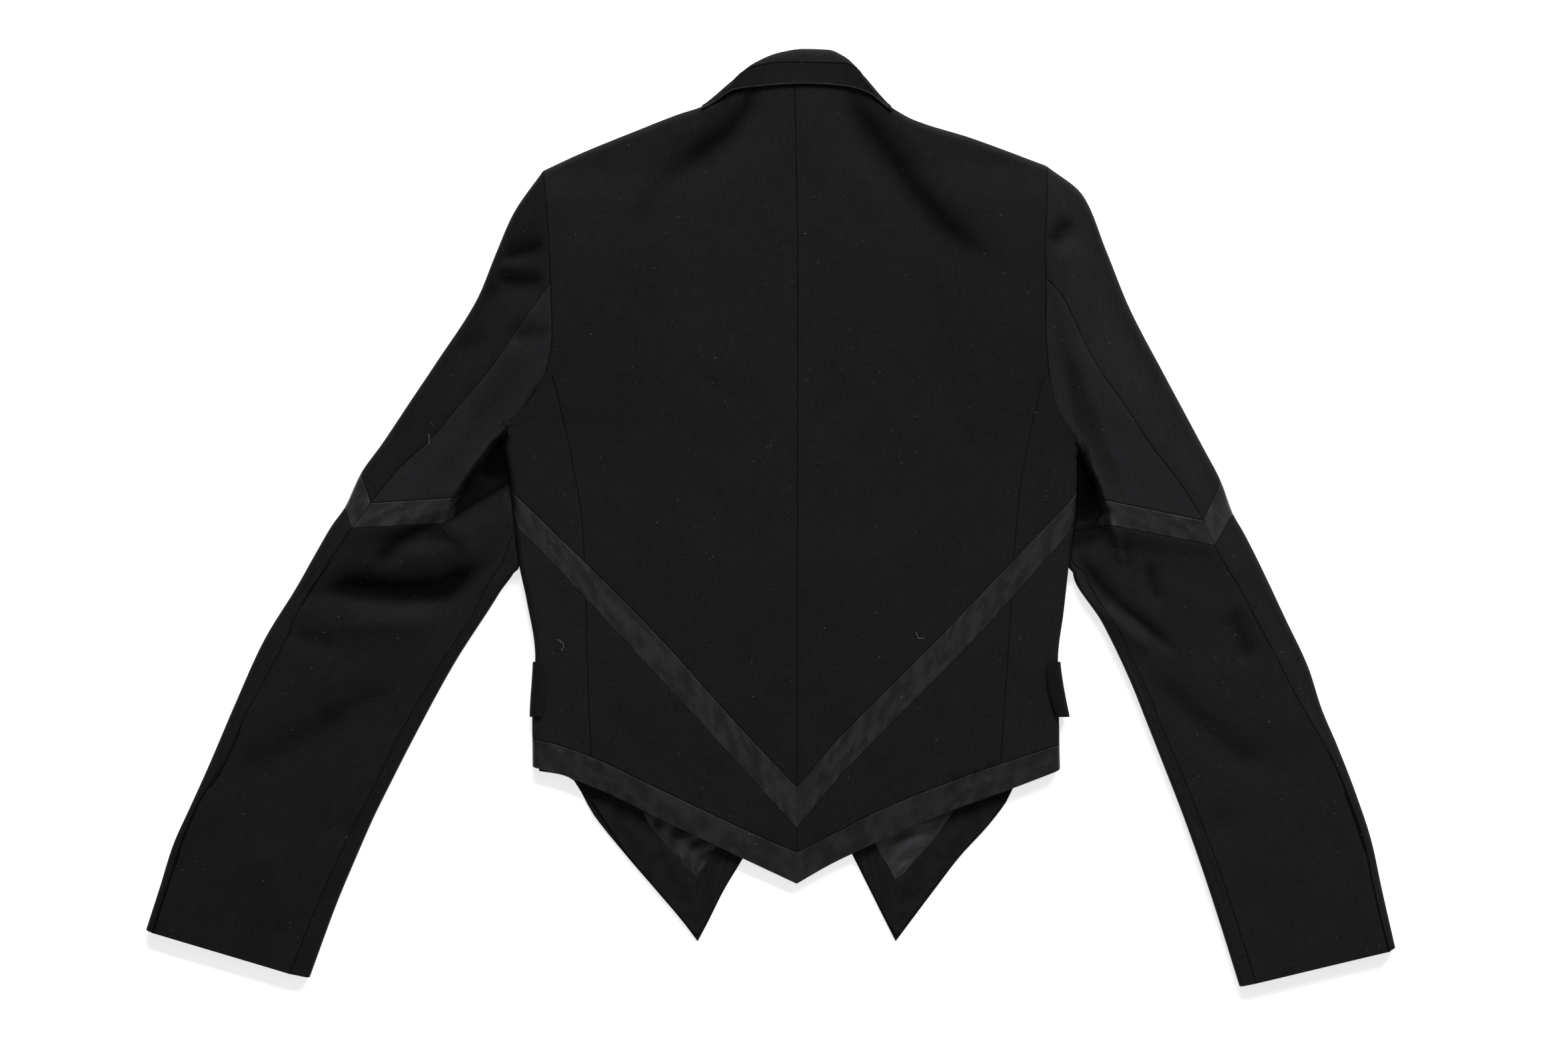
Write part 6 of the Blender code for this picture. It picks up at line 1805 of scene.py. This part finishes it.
def twill_group() -> bpy.types.NodeTree:
    """Height of a two by two twill, from the cloth's own coordinates in millimetres."""
    graph, entry, leave = shader_group("twill_weave", {"Grain": "Vector", "Yarn": "Float"}, ["Height"])
    parts = graph.node("ShaderNodeSeparateXYZ", {0: entry.outputs["Grain"]})
    across = graph.math("DIVIDE", parts.outputs[0], entry.outputs["Yarn"])
    up = graph.math("DIVIDE", parts.outputs[1], entry.outputs["Yarn"])
    warp = graph.math("SINE", graph.math("MULTIPLY", graph.math("FRACT", across), math.pi))
    weft = graph.math("SINE", graph.math("MULTIPLY", graph.math("FRACT", up), math.pi))
    steps = graph.math("ADD", graph.math("FLOOR", across), graph.math("FLOOR", up))
    share = graph.math("FRACT", graph.math("DIVIDE", steps, 4.0))
    over = graph.math("LESS_THAN", share, 0.49)
    under = graph.math("SUBTRACT", 1.0, over)
    height = graph.math("ADD", graph.math("MULTIPLY", warp, over), graph.math("MULTIPLY", weft, under))
    graph.fill(leave, {"Height": height})
    return graph.tree


def nap_group() -> bpy.types.NodeTree:
    """Fuzz and unevenness of a worn cloth, from the cloth's own coordinates."""
    graph, entry, leave = shader_group("cloth_nap", {"Grain": "Vector"}, ["Fuzz", "Slub", "Cloud"])
    grain = entry.outputs["Grain"]
    fine = graph.noise(graph.scaled(grain, 1.0, 1.0), 1.6, 4.0, 0.7)
    fibres = graph.noise(graph.scaled(grain, 2.2, 0.45), 1.1, 3.0, 0.6)
    fuzz = graph.math("ADD", graph.math("MULTIPLY", fine, 0.6), graph.math("MULTIPLY", fibres, 0.4))
    up = graph.noise(graph.scaled(grain, 1.4, 0.10), 0.7, 3.0)
    across = graph.noise(graph.scaled(grain, 0.12, 1.3), 0.7, 3.0)
    slub = graph.math("MULTIPLY", graph.math("ADD", up, across), 0.5)
    graph.fill(leave, {"Fuzz": fuzz, "Slub": slub, "Cloud": graph.noise(grain, 0.02, 3.0)})
    return graph.tree


def satin_group() -> bpy.types.NodeTree:
    """Painted sheen in lighter and darker patches along a satin band, with fine streaks of its weave, from
    its own coordinates.
    """
    graph, entry, leave = shader_group("satin_painted_sheen", {"Grain": "Vector"}, ["Patches", "Streaks"])
    grain = entry.outputs["Grain"]
    broad = graph.noise(grain, 0.075, 3.0, 0.5)
    streaks = graph.noise(graph.scaled(grain, 0.5, 1.4), 1.2, 4.0, 0.65)
    graph.fill(leave, {"Patches": graph.span(broad, 0.36, 0.64), "Streaks": streaks})
    return graph.tree


@dataclass(frozen=True)
class Groups:
    """The groups of shader nodes that the cloths share."""

    twill: bpy.types.NodeTree
    nap: bpy.types.NodeTree
    satin: bpy.types.NodeTree


NO_LIGHT = (0.0004, 0.0004, 0.0005, 1.0)


def new_material(name: str) -> tuple[bpy.types.Material, Graph, bpy.types.Node]:
    """A new material, its graph and its shader."""
    material = bpy.data.materials.new(name)
    material.use_nodes = True
    return material, Graph(material.node_tree), material.node_tree.nodes["Principled BSDF"]


def cloth_material(cloth: Cloth, groups: Groups) -> bpy.types.Material:
    """A cloth's material.

    Args:
        cloth: Which cloth.
        groups: The shared groups.

    Returns:
        The material.
    """
    finish = FINISHES[cloth]
    material, graph, shader = new_material(f"jacket_{cloth.value}")
    grain = graph.node("ShaderNodeUVMap", uv_map="grain").outputs[0]
    twill = graph.node("ShaderNodeGroup", node_tree=groups.twill)
    graph.fill(twill, {"Grain": grain, "Yarn": finish.yarn})
    nap = graph.node("ShaderNodeGroup", node_tree=groups.nap)
    graph.fill(nap, {"Grain": grain})
    tone = graph.math("MULTIPLY", graph.span(nap.outputs["Fuzz"], 0.32, 0.68), 0.45)
    tone = graph.math("ADD", tone, graph.math("MULTIPLY", nap.outputs["Cloud"], 0.25))
    slubs = graph.span(nap.outputs["Slub"], 0.35, 0.65)
    tone = graph.math("ADD", tone, graph.math("MULTIPLY", slubs, 0.30))
    # The other cloths take the satin's painted sheen patches and weave streaks as their tone.
    if cloth is not Cloth.WOOL:
        satin = graph.node("ShaderNodeGroup", node_tree=groups.satin)
        graph.fill(satin, {"Grain": grain})
        streaks = graph.math("MULTIPLY", satin.outputs["Streaks"], 0.45)
        tone = graph.math("ADD", streaks, graph.math("MULTIPLY", satin.outputs["Patches"], 0.55))
    colour = graph.mix(tone, (*finish.dark, 1.0), (*finish.light, 1.0))
    # The piece's painted light and shade scales the base colour.
    painted_light = graph.node("ShaderNodeAttribute", attribute_name="nap").outputs["Fac"]
    lit = graph.node("ShaderNodeVectorMath", {0: colour, "Scale": painted_light}, operation="SCALE")
    # Painted shade darkens the base colour towards NO_LIGHT and makes the cloth rougher.
    hollow = graph.node("ShaderNodeAttribute", attribute_name="hollow").outputs["Fac"]
    low, high = finish.roughness
    rough = graph.span(tone, 0.1, 0.9, high, low)
    rough = graph.math("ADD", rough, graph.math("MULTIPLY", hollow, 1.0 - low))
    weave = graph.node("ShaderNodeBump", {"Strength": 0.8, "Distance": finish.weave_depth * MM})
    graph.fill(weave, {"Height": twill.outputs["Height"]})
    fuzz = graph.node("ShaderNodeBump", {"Strength": 0.8, "Distance": finish.nap_depth * MM})
    graph.fill(fuzz, {"Height": nap.outputs["Fuzz"], "Normal": weave.outputs["Normal"]})
    inputs = {
        "Base Color": graph.mix(hollow, lit.outputs[0], NO_LIGHT),
        "Roughness": graph.math("MINIMUM", rough, 1.0),
        "Specular IOR Level": finish.specular,
        "Sheen Weight": finish.sheen,
        "Sheen Roughness": finish.sheen_roughness,
        "Normal": fuzz.outputs["Normal"],
    }
    graph.fill(shader, inputs)
    return material


def plain_material(
    name: str,
    pale: Sequence[float],
    dark: Sequence[float],
    scale: float,
    detail: float,
    finish: dict[str, Any],
) -> bpy.types.Material:
    """A material of one colour with a little unevenness.

    Args:
        name: Its name.
        pale: Its colour.
        dark: Its colour in the darker places.
        scale: Fineness of the unevenness.
        detail: Detail of the unevenness.
        finish: Values of the shader's other inputs.

    Returns:
        The material.
    """
    material, graph, shader = new_material(name)
    noise = graph.noise(graph.node("ShaderNodeTexCoord").outputs["Object"], scale, detail)
    graph.fill(shader, {"Base Color": graph.mix(noise, (*dark, 1.0), (*pale, 1.0)), **finish})
    return material


def thread_material(name: str, colour: tuple[float, float, float], roughness: float) -> bpy.types.Material:
    """Material of sewing thread or lint: twisted fibre with a little unevenness."""
    dark = tuple(0.6 * part for part in colour)
    finish = {"Roughness": roughness, "Specular IOR Level": 0.2}
    return plain_material(name, colour, dark, 2600.0, 2.0, finish)


def random_between(graph: Graph, low: Any, high: Any, seed: Any) -> Socket:
    """A random number for each point."""
    node = graph.node("FunctionNodeRandomValue", {2: low, 3: high, 8: seed}, data_type="FLOAT")
    return node.outputs[1]


def geometry_tree(name: str, sizes: Sequence[str]) -> tuple[Graph, Any, Any]:
    """A new tree of geometry nodes with some sizes, a seed and a material as inputs."""
    inputs = {"Geometry": "Geometry", **dict.fromkeys(sizes, "Float"), "Seed": "Int", "Material": "Material"}
    return node_tree(name, "GeometryNodeTree", inputs, {"Geometry": "Geometry"})


def finish_instances(graph: Graph, entry: Any, leave: Any, inputs: dict[str | int, Socket]) -> None:
    """Ends a tree: instances on points, made real, with their material."""
    placed = graph.node("GeometryNodeInstanceOnPoints", inputs)
    real = graph.node("GeometryNodeRealizeInstances", {"Geometry": placed.outputs[0]})
    smooth = graph.node("GeometryNodeSetShadeSmooth", {"Geometry": real.outputs[0]})
    painted = graph.node("GeometryNodeSetMaterial", {"Geometry": smooth.outputs[0]})
    graph.fill(painted, {"Material": entry.outputs["Material"]})
    graph.fill(leave, {0: painted.outputs[0]})


def stitch_tree() -> bpy.types.NodeTree:
    """Stitches laid along a line of edges."""
    graph, entry, leave = geometry_tree("pick_stitches", ["Spacing", "Length", "Width"])
    curve = graph.node("GeometryNodeMeshToCurve", {"Mesh": entry.outputs["Geometry"]})
    dotted = graph.node("GeometryNodeResampleCurve", {"Curve": curve.outputs[0]}, mode="LENGTH")
    graph.fill(dotted, {"Length": entry.outputs["Spacing"]})
    bead = graph.node("GeometryNodeMeshIcoSphere", {"Radius": 0.5, "Subdivisions": 2})
    tangent = graph.node("GeometryNodeInputTangent").outputs[0]
    turned = graph.node("FunctionNodeAlignRotationToVector", {"Vector": tangent}, axis="X")
    uneven = random_between(graph, 0.8, 1.15, entry.outputs["Seed"])
    long, wide = graph.math("MULTIPLY", entry.outputs["Length"], uneven), entry.outputs["Width"]
    size = graph.node("ShaderNodeCombineXYZ", {0: long, 1: wide, 2: wide})
    made = {"Points": dotted, "Instance": bead, "Rotation": turned, "Scale": size}
    finish_instances(graph, entry, leave, {label: node.outputs[0] for label, node in made.items()})
    return graph.tree


def lint_tree() -> bpy.types.NodeTree:
    """Short bent fibres scattered over a surface."""
    graph, entry, leave = geometry_tree("scattered_lint", ["Density", "Fibre Length", "Fibre Radius"])
    seed, length = entry.outputs["Seed"], entry.outputs["Fibre Length"]
    spread = graph.node("GeometryNodeDistributePointsOnFaces", {"Mesh": entry.outputs["Geometry"]})
    graph.fill(spread, {"Density": entry.outputs["Density"], "Seed": seed})
    arc = graph.node("GeometryNodeCurveQuadraticBezier", {"Resolution": 5})
    graph.fill(arc, {"Start": (-0.5, 0.0, 0.0), "Middle": (0.05, 0.42, 0.12), "End": (0.5, 0.0, 0.02)})
    thin = graph.math("DIVIDE", entry.outputs["Fibre Radius"], length)
    profile = graph.node("GeometryNodeCurvePrimitiveCircle", {"Resolution": 3, "Radius": thin})
    fibre = graph.node("GeometryNodeCurveToMesh", {0: arc.outputs[0], 1: profile.outputs[0]})
    spin = graph.node("ShaderNodeCombineXYZ", {2: random_between(graph, 0.0, 6.283, seed)})
    turn = graph.node("FunctionNodeEulerToRotation", {0: spin.outputs[0]})
    facing = graph.node("FunctionNodeRotateRotation", rotation_space="LOCAL")
    graph.fill(facing, {0: spread.outputs["Rotation"], 1: turn.outputs[0]})
    grown = random_between(graph, 0.15, 1.0, graph.math("ADD", seed, 5.0))
    inputs = {
        "Points": spread.outputs[0],
        "Instance": fibre.outputs[0],
        "Rotation": facing.outputs[0],
        "Scale": graph.math("MULTIPLY", length, graph.math("POWER", grown, 2.2)),
    }
    finish_instances(graph, entry, leave, inputs)
    return graph.tree


def bake_nodes(
    name: str, mesh: bpy.types.Mesh, tree: bpy.types.NodeTree, inputs: dict[str, Any]
) -> bpy.types.Object:
    """Runs a tree on a mesh and keeps what it makes as a plain mesh.

    Args:
        name: Name of the piece.
        mesh: Mesh to run the tree on.
        tree: The geometry nodes.
        inputs: Values of the tree's inputs.

    Returns:
        The piece, with no modifier on it.
    """
    carrier = put(f"{name}_carrier", mesh)
    modifier = carrier.modifiers.new("nodes", "NODES")
    modifier.node_group = tree
    sockets = {item.name: item.identifier for item in tree.interface.items_tree if item.in_out == "INPUT"}
    for label, value in inputs.items():
        modifier[sockets[label]] = value
    made = keep_mesh(carrier)
    made.name = name
    return add_piece(name, made)


@dataclass(frozen=True)
class StitchSizes:
    """The pick stitches along the collar's lower edge."""

    spacing: float = 1.6
    length: float = 1.15
    width: float = 0.42
    inset: float = 1.0
    sink: float = 0.05
    margin: float = 4.0
    line_points: int = 240
    seed: int = 7


@dataclass(frozen=True)
class LintSizes:
    """White specks and fibres that lie on the cloth."""

    per_square_metre: float = 4200.0
    length: float = 1.4
    radius: float = 0.046
    seed: int = 41
    stride: int = 3
    least_up: float = 0.75


@dataclass(frozen=True)
class Fibre:
    """A single loose fibre, as places seen from above."""

    name: str
    path: tuple[tuple[float, float], ...]
    radius: float = 0.055


LOOSE_FIBRES = (
    Fibre("fibre_back_right", ((113.5, -88.0), (114.3, -92.0), (116.0, -94.0), (119.5, -93.2))),
    Fibre("fibre_side_left", ((-166.5, -94.5), (-162.5, -96.5), (-161.0, -100.0), (-163.5, -103.5))),
    Fibre("fibre_sleeve_left", ((-266.2, 66.0), (-265.6, 62.0), (-265.9, 58.2))),
)


def add_stitches(collar: Collar, material: bpy.types.Material) -> None:
    """Pick stitches along the collar's lower edge."""
    sizes = StitchSizes()
    x = np.linspace(COLLAR_LEFT + sizes.margin, COLLAR_RIGHT - sizes.margin, sizes.line_points)
    line = collar.fall_point(x, COLLAR_EDGE(x) + sizes.inset)
    line[:, 2] -= sizes.sink
    mesh = bpy.data.meshes.new("stitch_line")
    mesh.from_pydata(line * MM, [(k, k + 1) for k in range(len(x) - 1)], [])
    inputs = {
        "Spacing": sizes.spacing * MM,
        "Length": sizes.length * MM,
        "Width": sizes.width * MM,
        "Seed": sizes.seed,
        "Material": material,
    }
    piece = bake_nodes("collar_pick_stitches", mesh, stitch_tree(), inputs)
    Cloth.WOOL.slot


def add_lint(wardrobe: Wardrobe, material: bpy.types.Material) -> None:
    """Specks of lint over the wool that faces up."""
    sizes = LintSizes()
    points: list[Array] = []
    faces: list[Array] = []
    total = 0
    for node, patch in wardrobe.patches.items():
        if node.startswith(("front_", "lapel", "cuff")):
            continue
        places = patch.places[:: sizes.stride, :: sizes.stride]
        quads = grid_quads(*places.shape[:2])
        if patch.outside < 0:
            quads = quads[:, ::-1]
        flat = places.reshape(-1, 3)
        normal = np.cross(flat[quads[:, 2]] - flat[quads[:, 0]], flat[quads[:, 3]] - flat[quads[:, 1]])
        lengths = np.maximum(np.linalg.norm(normal, axis=-1), 1e-9)
        quads = quads[normal[:, 2] / lengths > sizes.least_up]
        points.append(flat)
        faces.append(quads + total)
        total += len(flat)
    mesh = bpy.data.meshes.new("lint_ground")
    mesh.from_pydata(np.concatenate(points) * MM, [], np.concatenate(faces))
    inputs = {
        "Density": sizes.per_square_metre,
        "Fibre Length": sizes.length * MM,
        "Fibre Radius": sizes.radius * MM,
        "Seed": sizes.seed,
        "Material": material,
    }
    lint = bake_nodes("lint_specks", mesh, lint_tree(), inputs)
    wardrobe.triangles += 2 * len(lint.data.polygons)


def add_fibre(fibre: Fibre, height: Callable[[float, float], float], material: bpy.types.Material) -> None:
    """A single loose fibre as a thin tube on the cloth."""
    curve = bpy.data.curves.new(fibre.name, "CURVE")
    curve.dimensions = "3D"
    curve.bevel_depth = fibre.radius * MM
    curve.bevel_resolution = 1
    curve.resolution_u = 6
    spline = curve.splines.new("NURBS")
    spline.points.add(len(fibre.path) - 1)
    for point, (x, y) in zip(spline.points, fibre.path):
        point.co = (x * MM, y * MM, (height(x, y) + fibre.radius) * MM, 1.0)
    spline.use_endpoint_u = True
    spline.order_u = 3
    mesh = keep_mesh(put(fibre.name, curve))
    mesh.materials.clear()
    mesh.materials.append(material)
    add_piece(fibre.name, mesh)


def surface_height(wardrobe: Wardrobe, nodes: Sequence[str]) -> Callable[[float, float], float]:
    """Height of the highest of some pieces at a place seen from above."""
    places = np.concatenate([wardrobe.patches[node].places.reshape(-1, 3) for node in nodes])

    def height(x: float, y: float) -> float:
        """The highest of the four nearest points."""
        near = places[np.argsort(np.hypot(places[:, 0] - x, places[:, 1] - y))[:4]]
        return float(near[:, 2].max())

    return height


@dataclass(frozen=True)
class LightSizes:
    """A soft light: a white panel that faces the jacket."""

    name: str
    place: tuple[float, float, float]
    size: tuple[float, float]
    power: float


LIGHTS = (
    LightSizes("far_panel", (0.9, 3.3, 1.95), (3.4, 1.4), 262.0),
    LightSizes("near_panel", (-0.2, -1.5, 2.4), (1.8, 1.2), 8.0),
)
WORLD_STRENGTH = 0.16
PAPER_GLOW = 0.62


def add_studio() -> None:
    """Plain pale floor that glows a little, soft light and the camera straight above."""
    bpy.ops.mesh.primitive_plane_add(size=14.0, location=(0.0, 0.0, -0.0004))
    floor = bpy.context.object
    floor.name = "floor"
    finish = {
        "Roughness": 0.95,
        "Specular IOR Level": 0.1,
        "Emission Color": (1.0, 1.0, 1.0, 1.0),
        "Emission Strength": PAPER_GLOW,
    }
    paper = plain_material("paper", (0.94, 0.94, 0.945), (0.90, 0.90, 0.905), 900.0, 3.0, finish)
    floor.data.materials.append(paper)
    world = bpy.data.worlds.new("studio")
    world.use_nodes = True
    background = world.node_tree.nodes["Background"]
    background.inputs["Color"].default_value = (1.0, 1.0, 1.0, 1.0)
    background.inputs["Strength"].default_value = WORLD_STRENGTH
    scene = bpy.context.scene
    scene.world = world
    for sizes in LIGHTS:
        light = bpy.data.lights.new(sizes.name, "AREA")
        light.shape = "RECTANGLE"
        light.size, light.size_y = sizes.size
        light.energy = sizes.power
        lamp = put(sizes.name, light)
        lamp.location = sizes.place
        lamp.rotation_euler = (-Vector(sizes.place)).to_track_quat("-Z", "Y").to_euler()
    scene.view_settings.view_transform = "Standard"
    camera = bpy.data.cameras.new("camera")
    camera.lens = CAMERA.lens
    camera.sensor_width = CAMERA.sensor
    camera.clip_start = 0.1
    camera.clip_end = 30.0
    eye = put("camera", camera)
    away = CAMERA.view_width * CAMERA.lens / CAMERA.sensor + CAMERA.focus_height
    eye.location = (CAMERA.centre_x * MM, CAMERA.centre_y * MM, away * MM)
    scene.camera = eye


def main() -> None:
    """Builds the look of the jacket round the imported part."""
    logging.basicConfig(level=logging.INFO, format="%(name)s: %(message)s")
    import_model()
    add_studio()
    groups = Groups(twill_group(), nap_group(), satin_group())
    materials = {cloth: cloth_material(cloth, groups) for cloth in Cloth}
    wardrobe = Wardrobe(materials)
    bodies = {side: Body(side) for side in Side}
    collar = Collar(bodies)
    add_back(wardrobe, bodies)
    add_fronts(wardrobe, bodies)
    add_collar(wardrobe, collar)
    add_flaps(wardrobe, bodies)
    for side, body in bodies.items():
        add_sleeve(wardrobe, Sleeve(side, body))
    thread = thread_material("sewing_thread", (0.105, 0.103, 0.110), 0.5)
    lint = thread_material("white_lint", (0.62, 0.61, 0.58), 0.8)
    add_stitches(collar, thread)
    add_lint(wardrobe, lint)
    height = surface_height(wardrobe, ["back_upper_right", "side_lower_left", "undersleeve_upper_left"])
    for fibre in LOOSE_FIBRES:
        add_fibre(fibre, height, lint)
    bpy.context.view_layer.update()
    LOG.info("%d cloth triangles", wardrobe.triangles)


if __name__ == "__main__":
    main()
